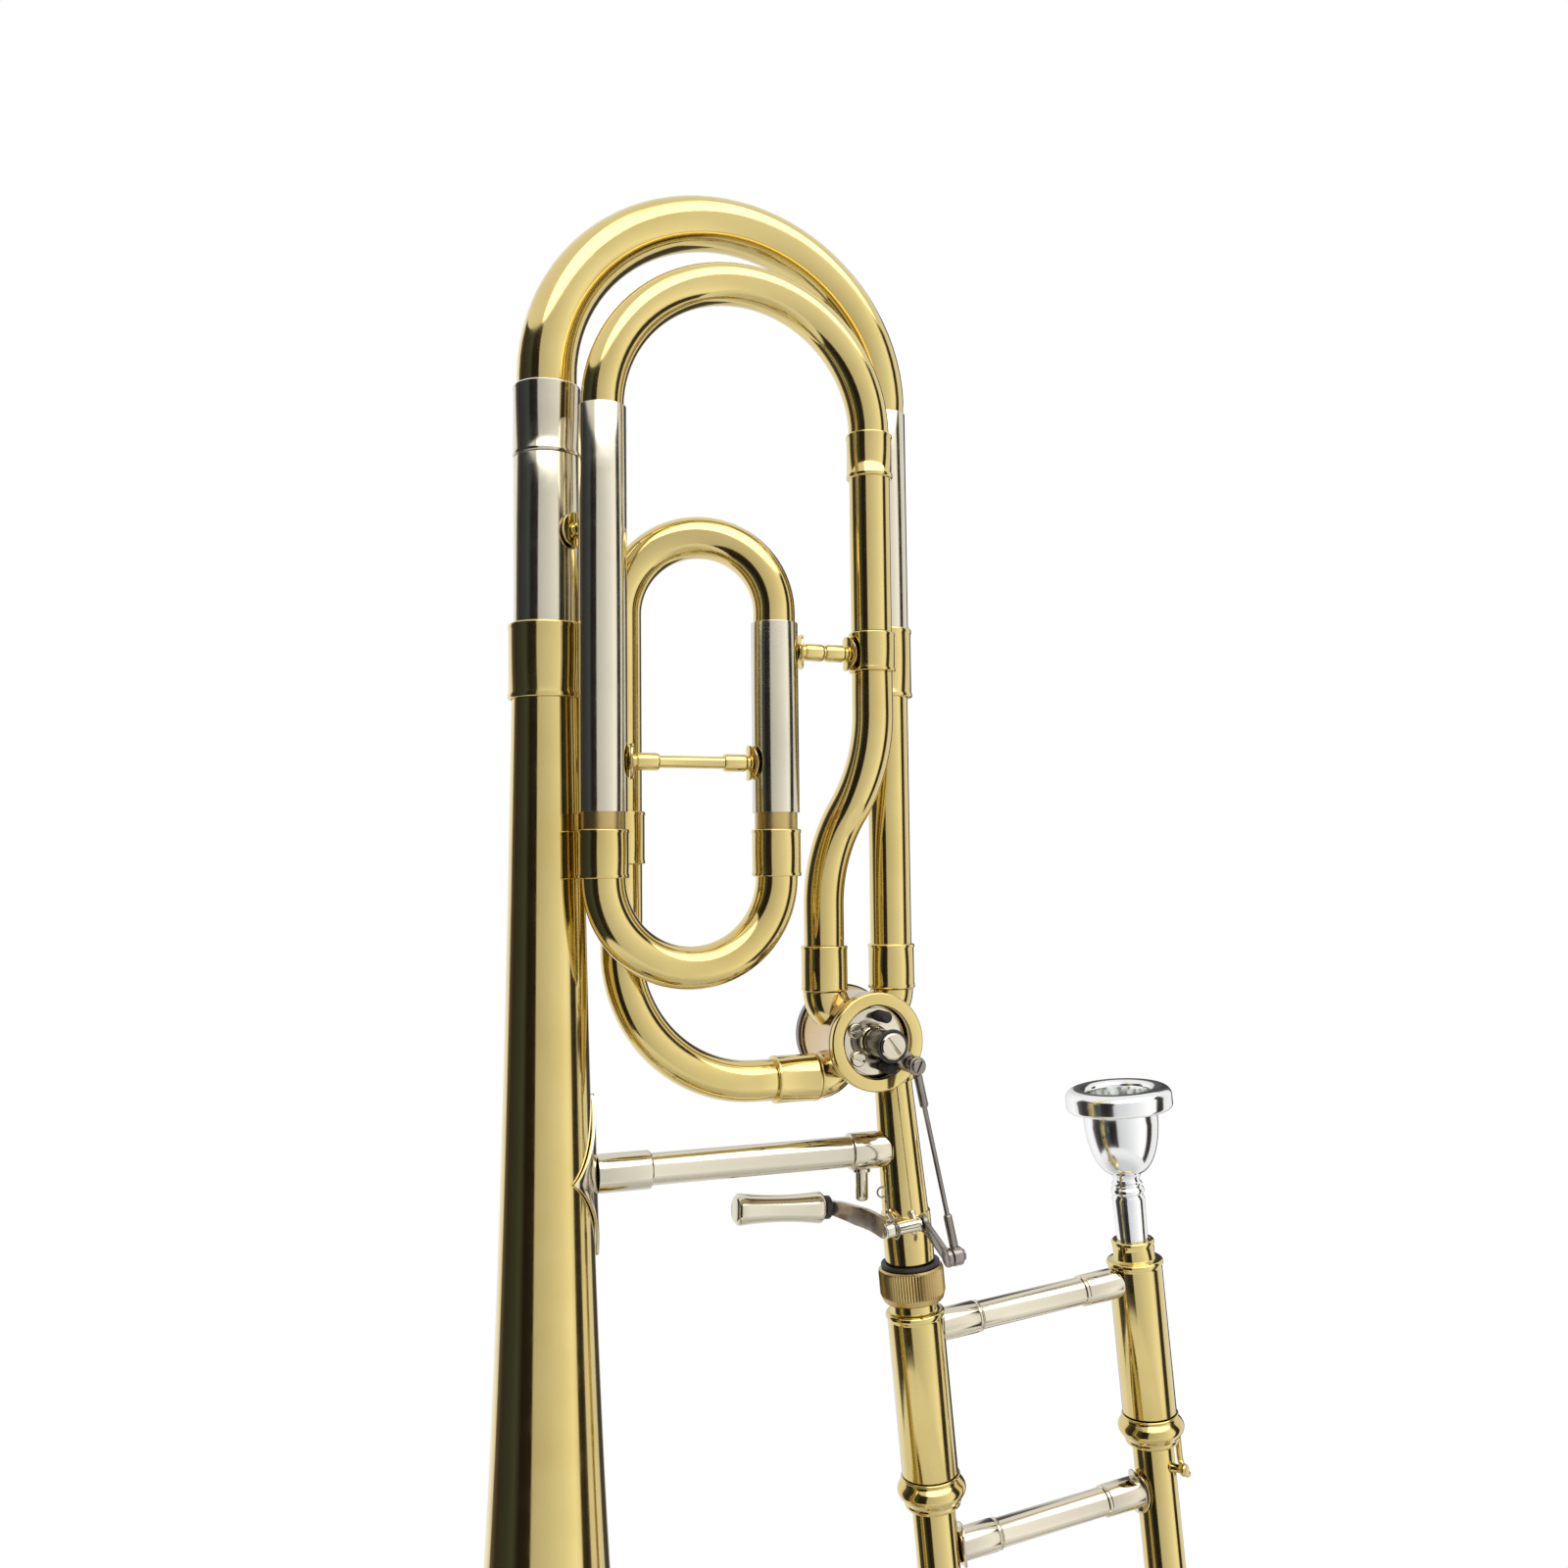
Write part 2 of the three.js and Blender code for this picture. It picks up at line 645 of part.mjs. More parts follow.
// The S bend's rise, from its sideways shift, sets the heights of the side ferrule and of the legs.
const sBendShift = Math.hypot(fRightTubeX - valveX + PORT_OFFSET, F_PLANE_Y);
const sBendTurn = Math.acos(1 - sBendShift / (2 * F_S_BEND_RADIUS));
const sBendRise = 2 * F_S_BEND_RADIUS * Math.sin(sBendTurn);
const fSideFerruleLow = knuckleEnd + SEAT_GAP + PORT_FERRULE_LENGTH + sBendRise + F_S_BEND_RUN;
const fSideFerruleTop = fSideFerruleLow + F_SIDE_FERRULE_LENGTH;
const fLongLegTop = fSideFerruleTop + F_SIDE_TUBE_LENGTH;
const fLegBottom = fLongLegTop - F_LONG_LEG_LENGTH;
const fShortLegTop = fSideFerruleTop + F_SHORT_LEG_RISE;
const fOuterLegBore = F_INNER_LEG_RADIUS + SLIDE_FIT;
const fOuterLegRadius = fOuterLegBore + F_LEG_WALL;

function fOuterLegs() {
  const legs = [
    ['f_long_outer_leg', F_LONG_LEG_X, fLongLegTop],
    ['f_short_outer_leg', fShortLegX, fShortLegTop],
  ];
  for (const [name, x, top] of legs) {
    const leg = place(model, name, sleeve(fOuterLegRadius, fOuterLegBore, fLegBottom, top), nickel);
    leg.position.set(x, F_PLANE_Y, 0);
  }
}

// F tuning slide: two inner legs, their ferrules and the bow below them.
const fFerruleTop = fLegBottom - F_SLIDE_DRAW;
const fFerruleBottom = fFerruleTop - F_SLIDE_FERRULE_LENGTH;
const fInnerLegBottom = fFerruleBottom + F_SLIDE_FERRULE_LENGTH / 2;
const fLongBowEnd = fLongLegTop - F_BOW_SPIGOT;
const fShortBowEnd = fShortLegTop - F_BOW_SPIGOT;

function fTuningSlide() {
  const legs = [
    ['long', F_LONG_LEG_X, fLongBowEnd - F_LONG_INNER_CLEARANCE],
    ['short', fShortLegX, fShortBowEnd - F_SHORT_INNER_CLEARANCE],
  ];
  const seat = F_INNER_LEG_RADIUS + SEAT_GAP;
  for (const [name, x, innerTop] of legs) {
    const ferrule = sleeve(F_FERRULE_RADIUS + SEAT_GAP, seat, fFerruleBottom, fFerruleTop);
    place(model, `f_slide_ferrule_${name}`, ferrule, brass).position.set(x, F_PLANE_Y, 0);
    const leg = sleeve(F_INNER_LEG_RADIUS, F_INNER_LEG_RADIUS - SHEET_WALL, fInnerLegBottom, innerTop);
    place(model, `f_inner_leg_${name}`, leg, brass).position.set(x, F_PLANE_Y, 0);
  }
  const top = fInnerLegBottom - SEAT_GAP;
  const route = new Route(point(F_LONG_LEG_X, F_PLANE_Y, top), UP.clone().negate(), BACK.clone().negate())
    .mark(F_TUBE_RADIUS, fBore)
    .run(top - fFerruleBottom)
    .mark(F_TUBE_RADIUS, fBore)
    .arc((fShortLegX - F_LONG_LEG_X) / 2, Math.PI, BOW_STEPS, same(F_TUBE_RADIUS), same(fBore))
    .run(top - fFerruleBottom)
    .mark(F_TUBE_RADIUS, fBore);
  place(model, 'f_tuning_bow', route.tube(), brass);
}

// Large bow over the top, from the long leg down to the straight tube beside the main leg.
const fRightTubeTop = fLongBowEnd - SEAT_GAP;

function fUpperBow() {
  const route = new Route(point(F_LONG_LEG_X, F_PLANE_Y, fLongBowEnd), UP, BACK)
    .mark(F_TUBE_RADIUS, fBore)
    .run(F_BOW_SPIGOT)
    .mark(F_TUBE_RADIUS, fBore)
    .arc((fRightTubeX - F_LONG_LEG_X) / 2, Math.PI, BOW_STEPS, same(F_TUBE_RADIUS), same(fBore))
    .run(F_BOW_SPIGOT)
    .mark(F_TUBE_RADIUS, fBore);
  place(model, 'f_upper_bow', route.tube(), brass);
  const seat = F_TUBE_RADIUS + SEAT_GAP;
  const middle = fRightTubeTop;
  const high = fLongLegTop;
  const low = fSideFerruleTop;
  const tube = turned([
    [fBore, low],
    [F_TUBE_RADIUS, low],
    [F_TUBE_RADIUS, high - F_FERRULE_LENGTH],
    [F_FERRULE_RADIUS, high - F_FERRULE_LENGTH],
    [F_FERRULE_RADIUS, high],
    [seat, high],
    [seat, middle],
    [fBore, middle],
  ]);
  place(model, 'f_straight_tube', tube, brass).position.set(fRightTubeX, F_PLANE_Y, 0);
}

// The quarter bend's radius fills the way from the return tube to the valve's lower left port.
const fPortEnd = valveX - knuckleReach - SEAT_GAP;
const fQuarterBendRadius = fPortEnd - PORT_FERRULE_LENGTH - F_QUARTER_BEND_RUN - F_RETURN_X;
const fQuarterBendTop = valveZ - PORT_OFFSET + fQuarterBendRadius;
const fReturnFerruleTop = fQuarterBendTop + F_RETURN_RUN + F_RETURN_FERRULE_LENGTH;

// Small bow and the tube that returns behind the long leg.
function fSmallBow() {
  const start = point(fShortLegX, F_PLANE_Y, fShortBowEnd);
  const end = point(F_RETURN_X, 0, start.z);
  const across = end.clone().sub(start);
  const binormal = UP.clone().cross(across);
  const top = fShortLegTop + F_RETURN_BOW_RISE;
  const straight = top - fReturnFerruleTop + F_RETURN_FERRULE_LENGTH / 2;
  const route = new Route(start, UP, binormal)
    .mark(F_TUBE_RADIUS, fBore)
    .run(top - start.z)
    .mark(F_TUBE_RADIUS, fBore)
    .arc(across.length() / 2, Math.PI, BOW_STEPS, same(F_TUBE_RADIUS), same(fBore))
    .run(straight)
    .mark(F_TUBE_RADIUS, fBore);
  place(model, 'f_return_bow', route.tube(), brass);
}

// Quarter bend from the return tube to the valve's lower left port.
function fQuarterBend() {
  const top = fReturnFerruleTop;
  const seatDepth = F_RETURN_FERRULE_LENGTH / 2 + SEAT_GAP;
  const seat = F_TUBE_RADIUS + SEAT_GAP;
  const route = new Route(point(F_RETURN_X, 0, top), UP.clone().negate(), BACK.clone().negate())
    .mark(F_FERRULE_RADIUS, seat)
    .run(seatDepth)
    .mark(F_FERRULE_RADIUS, seat)
    .mark(F_FERRULE_RADIUS, fBore)
    .run(F_RETURN_FERRULE_LENGTH - seatDepth)
    .mark(F_FERRULE_RADIUS, fBore)
    .mark(F_TUBE_RADIUS, fBore)
    .run(F_RETURN_RUN)
    .mark(F_TUBE_RADIUS, fBore)
    .arc(fQuarterBendRadius, Math.PI / 2, BEND_STEPS, same(F_TUBE_RADIUS), same(fBore))
    .run(F_QUARTER_BEND_RUN)
    .mark(F_TUBE_RADIUS, fBore)
    .mark(PORT_FERRULE_RADIUS, fBore)
    .run(PORT_FERRULE_LENGTH)
    .mark(PORT_FERRULE_RADIUS, fBore);
  place(model, 'f_quarter_bend', route.tube(), brass);
}

// S bend from the valve's upper left port, forward and up to the straight tube.
function fSBend() {
  const start = point(valveX - PORT_OFFSET, 0, knuckleEnd + SEAT_GAP);
  const end = point(fRightTubeX, F_PLANE_Y, 0);
  const across = end.clone().sub(start).setZ(0);
  const top = fSideFerruleTop - SEAT_GAP;
  const binormal = UP.clone().cross(across);
  const tube = same(F_TUBE_RADIUS);
  const bore = same(fBore);
  const route = new Route(start, UP, binormal)
    .mark(PORT_FERRULE_RADIUS, fBore)
    .run(PORT_FERRULE_LENGTH)
    .mark(PORT_FERRULE_RADIUS, fBore)
    .mark(F_TUBE_RADIUS, fBore)
    .run(F_S_BEND_RUN / 2)
    .mark(F_TUBE_RADIUS, fBore)
    .arc(F_S_BEND_RADIUS, sBendTurn, BEND_STEPS, tube, bore)
    .arc(F_S_BEND_RADIUS, -sBendTurn, BEND_STEPS, tube, bore)
    .run(F_S_BEND_RUN / 2)
    .mark(F_TUBE_RADIUS, fBore)
    .mark(F_FERRULE_RADIUS, fBore)
    .run(top - fSideFerruleLow)
    .mark(F_FERRULE_RADIUS, fBore);
  place(model, 'f_s_bend', route.tube(), brass);
}

// A round plate that wraps part of a tube, cut from a bar that points at the tube's axis.
function wrapPlate(bar, tube, gap, wall, low, high) {
  const skin = solid(rod(tube + gap + wall, low, high, CLEAR_SIDES));
  const clear = solid(rod(tube + gap, low, high, CLEAR_SIDES));
  return bar.intersect(skin).subtract(clear);
}

// A brace between two upright tubes: a rod, two sleeves and two wrapped flanges.
function tubeBrace(name, first, second, height, groove, material) {
  const across = second.at.clone().sub(first.at);
  const length = across.length();
  const reach = BRACE_FLANGE_RADIUS + OVERRUN;
  const low = -reach;
  const firstEnd = first.radius + BRACE_SLEEVE_LENGTH;
  const secondEnd = length - second.radius - BRACE_SLEEVE_LENGTH;
  const middle = (firstEnd + secondEnd) / 2;
  const half = groove > 0 ? groove : 0;
  const profile = [[0, 0], [BRACE_SLEEVE_RADIUS, 0]];
  if (half > 0) {
    profile.push([BRACE_SLEEVE_RADIUS, middle - half], [BRACE_ROD_RADIUS, middle - half]);
    profile.push([BRACE_ROD_RADIUS, middle + half], [BRACE_SLEEVE_RADIUS, middle + half]);
  } else {
    profile.push([BRACE_SLEEVE_RADIUS, firstEnd], [BRACE_ROD_RADIUS, firstEnd]);
    profile.push([BRACE_ROD_RADIUS, secondEnd], [BRACE_SLEEVE_RADIUS, secondEnd]);
  }
  profile.push([BRACE_SLEEVE_RADIUS, length], [0, length]);
  const bar = solid(alongX(turned(profile, FINE_SIDES)));
  const disc = (from, to) => solid(alongX(rod(BRACE_FLANGE_RADIUS, from, to, TUBE_SIDES)));
  const nearDisc = disc(0, first.radius + OVERRUN);
  const near = wrapPlate(nearDisc, first.radius, SEAT_GAP, BRACE_FLANGE_WALL, low, -low);
  const farRadius = second.radius + SEAT_GAP;
  const farSkin = solid(rod(farRadius + BRACE_FLANGE_WALL, low, -low, CLEAR_SIDES)).translate(length, 0, 0);
  const farClear = solid(rod(farRadius, low, -low, CLEAR_SIDES)).translate(length, 0, 0);
  const nearClear = solid(rod(first.radius + SEAT_GAP, low, -low, CLEAR_SIDES));
  const far = disc(length - second.radius - OVERRUN, length).intersect(farSkin);
  const brace = bar.add(near).add(far).subtract(nearClear).subtract(farClear);
  const mesh = place(model, name, surface(brace), material);
  mesh.rotation.z = Math.atan2(across.y, across.x);
  mesh.position.set(first.at.x, first.at.y, height);
}

function wrapBraces() {
  const longLeg = { at: point(F_LONG_LEG_X, F_PLANE_Y, 0), radius: fOuterLegRadius };
  const shortLeg = { at: point(fShortLegX, F_PLANE_Y, 0), radius: fOuterLegRadius };
  const sideTube = { at: point(fRightTubeX, F_PLANE_Y, 0), radius: F_FERRULE_RADIUS };
  tubeBrace('f_slide_brace', longLeg, shortLeg, fLegBottom + F_SLIDE_BRACE_RISE, 0, brass);
  const sideHeight = fSideFerruleTop - F_SIDE_BRACE_DROP;
  tubeBrace('f_side_brace', shortLeg, sideTube, sideHeight, F_SIDE_GROOVE, brass);
}

// A short post with a flange on each side, between the bell-side leg and the long leg.
function legBrace() {
  const across = point(F_LONG_LEG_X, F_PLANE_Y, 0);
  const length = across.length();
  const high = BRACE_FLANGE_RADIUS;
  const post = solid(alongX(rod(BRACE_SLEEVE_RADIUS, 0, length, FINE_SIDES)));
  const disc = solid(alongX(rod(BRACE_FLANGE_RADIUS, 0, length, TUBE_SIDES)));
  const nearRadius = BELL_LEG_RADIUS + SEAT_GAP;
  const skin = solid(rod(nearRadius + BRACE_FLANGE_WALL, -high, high, CLEAR_SIDES));
  const nearClear = solid(rod(nearRadius, -high, high, CLEAR_SIDES));
  const farClear = solid(rod(fOuterLegRadius + SEAT_GAP, -high, high, CLEAR_SIDES)).translate(length, 0, 0);
  const brace = post.add(disc.intersect(skin)).subtract(nearClear).subtract(farClear);
  const mesh = place(model, 'leg_brace', surface(brace), brass);
  mesh.rotation.z = Math.atan2(across.y, across.x);
  mesh.position.z = fLongLegTop - LEG_BRACE_DROP;
}

// Bell stay: a diamond flange on the bell and a brace from it to the neckpipe.
function bellShell(offset) {
  const outline = bellProfile.map(([radius, height]) => [radius + offset, height]);
  return solid(turned([[0, bellFoot], ...outline, [0, bellTop]], BELL_SIDES));
}

const neckTop = point(0, 0, 0);

function bellStay() {
  const half = BELL_FLANGE_HEIGHT / 2;
  const reach = bellRadius(bellBraceZ - half) + OVERRUN;
  const side = BELL_FLANGE_WIDTH / 2;
  const diamond = new THREE.Shape();
  diamond.moveTo(0, half);
  diamond.quadraticCurveTo(side * MID_SHARE, half * MID_SHARE, side, 0);
  diamond.quadraticCurveTo(side * MID_SHARE, -half * MID_SHARE, 0, -half);
  diamond.quadraticCurveTo(-side * MID_SHARE, -half * MID_SHARE, -side, 0);
  diamond.quadraticCurveTo(-side * MID_SHARE, half * MID_SHARE, 0, half);
  const options = { depth: reach, bevelEnabled: false, curveSegments: BEND_STEPS };
  const bar = new THREE.ExtrudeGeometry(diamond, options)
    .rotateX(Math.PI / 2)
    .rotateZ(Math.PI / 2)
    .translate(0, 0, bellBraceZ);
  const skin = bellShell(SEAT_GAP + BELL_FLANGE_WALL);
  const clear = bellShell(SEAT_GAP);
  place(model, 'bell_flange', surface(solid(bar).intersect(skin).subtract(clear)), nickel);

  const neckX = neckTop.x + (neckTop.z - bellBraceZ) * Math.tan(NECK_LEAN);
  const start = bellRadius(bellBraceZ);
  const ferruleEnd = start + BELL_BRACE_FERRULE_LENGTH;
  const neckFerrule = neckX - BELL_BRACE_FERRULE_LENGTH;
  const brace = solid(alongX(turned([
    [0, 0],
    [BELL_BRACE_FERRULE_RADIUS, 0],
    [BELL_BRACE_FERRULE_RADIUS, ferruleEnd],
    [BELL_BRACE_RADIUS, ferruleEnd],
    [BELL_BRACE_RADIUS, neckFerrule],
    [BELL_BRACE_FERRULE_RADIUS, neckFerrule],
    [BELL_BRACE_FERRULE_RADIUS, neckX],
    [0, neckX],
  ], TUBE_SIDES))).translate(0, 0, bellBraceZ);
  const bellClear = bellShell(2 * SEAT_GAP + BELL_FLANGE_WALL);
  const neckCone = turned([
    [0, 0],
    [NECK_TOP_RADIUS + SEAT_GAP, 0],
    [NECK_FOOT_RADIUS + SEAT_GAP, -NECK_TAPER_LENGTH],
    [0, -NECK_TAPER_LENGTH],
  ], CLEAR_SIDES);
  const neckClear = solid(neckCone)
    .rotate(0, -THREE.MathUtils.radToDeg(NECK_LEAN), 0)
    .translate(neckTop.x, neckTop.y, neckTop.z);
  place(model, 'bell_brace', surface(brace.subtract(bellClear).subtract(neckClear)), nickel);

  const armTop = fromNeck(point(leverStopX - neckTop.x, 0, gripZ + LEVER_ARM_THICKNESS / 2)).z;
  const post = solid(rod(LEVER_STOP_RADIUS, armTop + 2 * SEAT_GAP, bellBraceZ, FINE_SIDES))
    .translate(leverStopX, LEVER_STOP_Y, 0);
  const braceClear = solid(alongX(rod(BELL_BRACE_FERRULE_RADIUS + SEAT_GAP, 0, neckX, CLEAR_SIDES)))
    .translate(0, 0, bellBraceZ);
  place(model, 'lever_stop_post', surface(post.subtract(braceClear)), nickel);
}

// Valve casing: a drum with four knuckles, bored for the rotor and its ports.
const casingBore = ROTOR_RADIUS + SEAT_GAP;
const casingRadius = casingBore + CASING_WALL;

function knuckle({ x, z, turn }, radius, overrun) {
  const out = point(x, 0, z).normalize();
  const start = point(x, 0, z).multiplyScalar(knuckleStart);
  const back = knuckleStart * MID_SHARE;
  const route = new Route(start.addScaledVector(out, -back), out, BACK)
    .mark(radius)
    .run(back)
    .mark(radius)
    .arc(KNUCKLE_BEND_RADIUS, turn, KNUCKLE_STEPS, same(radius), same(0));
  if (overrun > 0) {
    route.run(overrun).mark(radius);
  }
  return route;
}

const ports = {
  upperRight: { x: 1, z: 1, turn: -Math.PI / 4 },
  upperLeft: { x: -1, z: 1, turn: Math.PI / 4 },
  lowerLeft: { x: -1, z: -1, turn: Math.PI / 4 },
  lowerRight: { x: 1, z: -1, turn: Math.PI / 4 - NECK_LEAN },
};

function valveCasing() {
  const half = CASING_DEPTH / 2;
  let casing = solid(alongY(rod(casingRadius, -half, half, VALVE_SIDES)));
  for (const port of Object.values(ports)) {
    casing = casing.add(solid(knuckle(port, KNUCKLE_RADIUS, 0).tube()));
  }
  casing = casing.subtract(solid(alongY(rod(casingBore, -half - OVERRUN, half + OVERRUN, VALVE_SIDES))));
  for (const port of Object.values(ports)) {
    casing = casing.subtract(solid(knuckle(port, KNUCKLE_BORE_RADIUS, OVERRUN).tube()));
  }
  place(model, 'valve_casing', surface(casing), brass).position.set(valveX, 0, valveZ);
}

neckTop.copy(knuckle(ports.lowerRight, KNUCKLE_RADIUS, 0).here).add(point(valveX, 0, valveZ));

function discY(outer, inner, back, front, sides = VALVE_SIDES) {
  const ring = inner > 0 ? sleeve(outer, inner, back, front, sides) : rod(outer, back, front, sides);
  return alongY(ring);
}

const rotorEnd = ROTOR_LENGTH / 2;
const plateInner = rotorEnd + SEAT_GAP;
const plateOuter = plateInner + BEARING_PLATE_THICKNESS;
const spindleBore = SPINDLE_RADIUS + SEAT_GAP;
const bossFront = plateOuter + BEARING_BOSS_LENGTH;
const ringBack = CASING_DEPTH / 2 + SEAT_GAP;
const stopPlateBack = plateOuter + SEAT_GAP;
const stopPlateFront = stopPlateBack + STOP_PLATE_THICKNESS;

// Heights along the rotor's axis count towards the player, which is -Y.
function valveCovers() {
  const bearing = joined(
    discY(ROTOR_RADIUS, spindleBore, -plateOuter, -plateInner),
    discY(BEARING_BOSS_RADIUS, spindleBore, -bossFront, -plateInner),
  );
  const rear = discY(ROTOR_RADIUS, spindleBore, plateInner, plateOuter);
  const ring = discY(casingRadius, FRONT_RING_OPENING, -ringBack - FRONT_RING_THICKNESS, -ringBack);
  const capRadius = casingRadius + REAR_CAP_LIP;
  const capBack = ringBack + REAR_CAP_DEPTH;
  const cap = alongY(turned([
    [0, capBack - REAR_CAP_WALL],
    [capRadius - REAR_CAP_WALL, capBack - REAR_CAP_WALL],
    [capRadius - REAR_CAP_WALL, ringBack],
    [capRadius, ringBack],
    [capRadius, capBack - REAR_CAP_LIP],
    [capRadius - REAR_CAP_LIP, capBack],
    [0, capBack],
  ], VALVE_SIDES));
  const pieces = [
    ['valve_front_bearing', surface(bearing), nickel],
    ['valve_rear_bearing', rear, nickel],
    ['valve_front_ring', ring, brass],
    ['valve_rear_cap', cap, nickel],
  ];
  for (const [name, geometry, material] of pieces) {
    place(model, name, geometry, material).position.set(valveX, 0, valveZ);
  }
}

// Rotor: a plug with two curved passages, on a spindle that carries the stop arm.
const stopArmRest = -Math.PI / 4 + NECK_LEAN;

function valveRotor() {
  const passage = (side) => {
    const reach = ROTOR_RADIUS * Math.SQRT1_2;
    const out = point(-side, 0, -1);
    const start = point(side * reach, 0, reach);
    const lead = start.clone().addScaledVector(out.clone().normalize(), -OVERRUN);
    return solid(new Route(lead, out, BACK)
      .mark(ROTOR_PASSAGE_RADIUS)
      .run(OVERRUN)
      .mark(ROTOR_PASSAGE_RADIUS)
      .arc(ROTOR_RADIUS, -side * (Math.PI / 2), BEND_STEPS, same(ROTOR_PASSAGE_RADIUS), same(0))
      .run(OVERRUN)
      .mark(ROTOR_PASSAGE_RADIUS)
      .tube(VALVE_SIDES / 2));
  };
  const rearEnd = plateOuter;
  const plug = joined(
    discY(ROTOR_RADIUS, 0, -rotorEnd, rotorEnd),
    discY(SPINDLE_RADIUS, 0, -SPINDLE_FRONT_END, rearEnd, TUBE_SIDES),
  );
  const rotor = plug.subtract(passage(1)).subtract(passage(-1));
  place(model, 'rotor', surface(rotor), brass).position.set(valveX, 0, valveZ);
}

function stopMechanism() {
  const hubBack = bossFront + SEAT_GAP;
  const barBack = ringBack + FRONT_RING_THICKNESS + SEAT_GAP;
  const hub = solid(discY(STOP_HUB_RADIUS, 0, -STOP_ARM_FRONT, -hubBack, TUBE_SIDES));
  const end = solid(discY(STOP_ARM_END_RADIUS, 0, -STOP_ARM_FRONT, -barBack, TUBE_SIDES));
  const bar = new THREE.BoxGeometry(STOP_ARM_REACH, STOP_ARM_FRONT - barBack, STOP_ARM_WIDTH)
    .translate(STOP_ARM_REACH / 2, -(STOP_ARM_FRONT + barBack) / 2, 0);
  const bore = solid(discY(spindleBore, 0, -STOP_ARM_FRONT - OVERRUN, 0, TUBE_SIDES));
  const arm = hub.add(end.translate(STOP_ARM_REACH, 0, 0)).add(solid(bar)).subtract(bore);
  const armMesh = place(model, 'rotor_stop_arm', surface(arm), steel);
  armMesh.position.set(valveX, 0, valveZ);
  armMesh.rotation.y = -stopArmRest;

  const headBack = STOP_ARM_FRONT + SEAT_GAP;
  const headFront = headBack + ROTOR_SCREW_HEAD;
  const slot = new THREE.BoxGeometry(2 * ROTOR_SCREW_RADIUS + OVERRUN, 2 * ROTOR_SCREW_SLOT, ROTOR_SCREW_SLOT)
    .rotateY(-stopArmRest)
    .translate(0, -headFront, 0);
  const screw = solid(discY(ROTOR_SCREW_RADIUS, 0, -headFront, -headBack, TUBE_SIDES)).subtract(solid(slot));
  place(model, 'rotor_screw', surface(screw), steel).position.set(valveX, 0, valveZ);

  const side = STOP_ARM_WIDTH / 2 + STOP_CORK_RADIUS + SEAT_GAP;
  const lead = Math.asin(side / STOP_CORK_CIRCLE);
  const corks = [
    ['stop_cork_lower', stopArmRest - lead],
    ['stop_cork_upper', stopArmRest + ROTOR_TURN + lead],
  ];
  for (const [name, angle] of corks) {
    const bumper = place(
      model,
      name,
      discY(STOP_CORK_RADIUS, 0, -STOP_CORK_FRONT, -stopPlateFront - SEAT_GAP, FINE_SIDES),
      cork,
    );
    bumper.position.set(
      valveX + STOP_CORK_CIRCLE * Math.cos(angle),
      0,
      valveZ + STOP_CORK_CIRCLE * Math.sin(angle),
    );
  }

  const first = corks[1][1] - lead / 2;
  const last = corks[0][1] + lead / 2 + Math.PI * 2;
  const crescent = new THREE.Shape();
  crescent.absarc(0, 0, STOP_PLATE_OUTER_RADIUS, first, last, false);
  crescent.absarc(0, 0, STOP_PLATE_INNER_RADIUS, last, first, true);
  const options = { depth: STOP_PLATE_THICKNESS, bevelEnabled: false, curveSegments: VALVE_SIDES / 2 };
  const flat = new THREE.ExtrudeGeometry(crescent, options).rotateX(Math.PI / 2);
  let plate = solid(flat.translate(0, -stopPlateBack, 0));
  const circle = (STOP_PLATE_OUTER_RADIUS + STOP_PLATE_INNER_RADIUS) / 2;
  const middle = (first + last) / 2;
  for (const turn of [-lead, lead]) {
    const headFront = stopPlateFront + STOP_SCREW_HEAD;
    const head = solid(discY(STOP_SCREW_RADIUS, 0, -headFront, -stopPlateFront, FINE_SIDES));
    const x = circle * Math.cos(middle + turn);
    const z = circle * Math.sin(middle + turn);
    plate = plate.add(head.translate(x, 0, z));
  }
  place(model, 'stop_plate', surface(plate), nickel).position.set(valveX, 0, valveZ);
}

// Places in the leaning neck frame, whose Z runs up the neck axis.
function toNeck(spot) {
  return spot.clone().sub(neckTop).applyAxisAngle(BACK, NECK_LEAN);
}

function fromNeck(spot) {
  return spot.clone().applyAxisAngle(BACK, -NECK_LEAN).add(neckTop);
}

// Link rod between the stop arm and the lever's link arm, with an eye and a screw at each end.
const linkTravel = 2 * STOP_ARM_REACH * Math.sin(ROTOR_TURN / 2);
const leverTurn = 2 * Math.asin(linkTravel / (2 * LINK_ARM_REACH));
const linkArmFace = LEVER_AXLE_X + LEVER_BEARING_LENGTH / 2 + SEAT_GAP + LINK_ARM_THICKNESS;

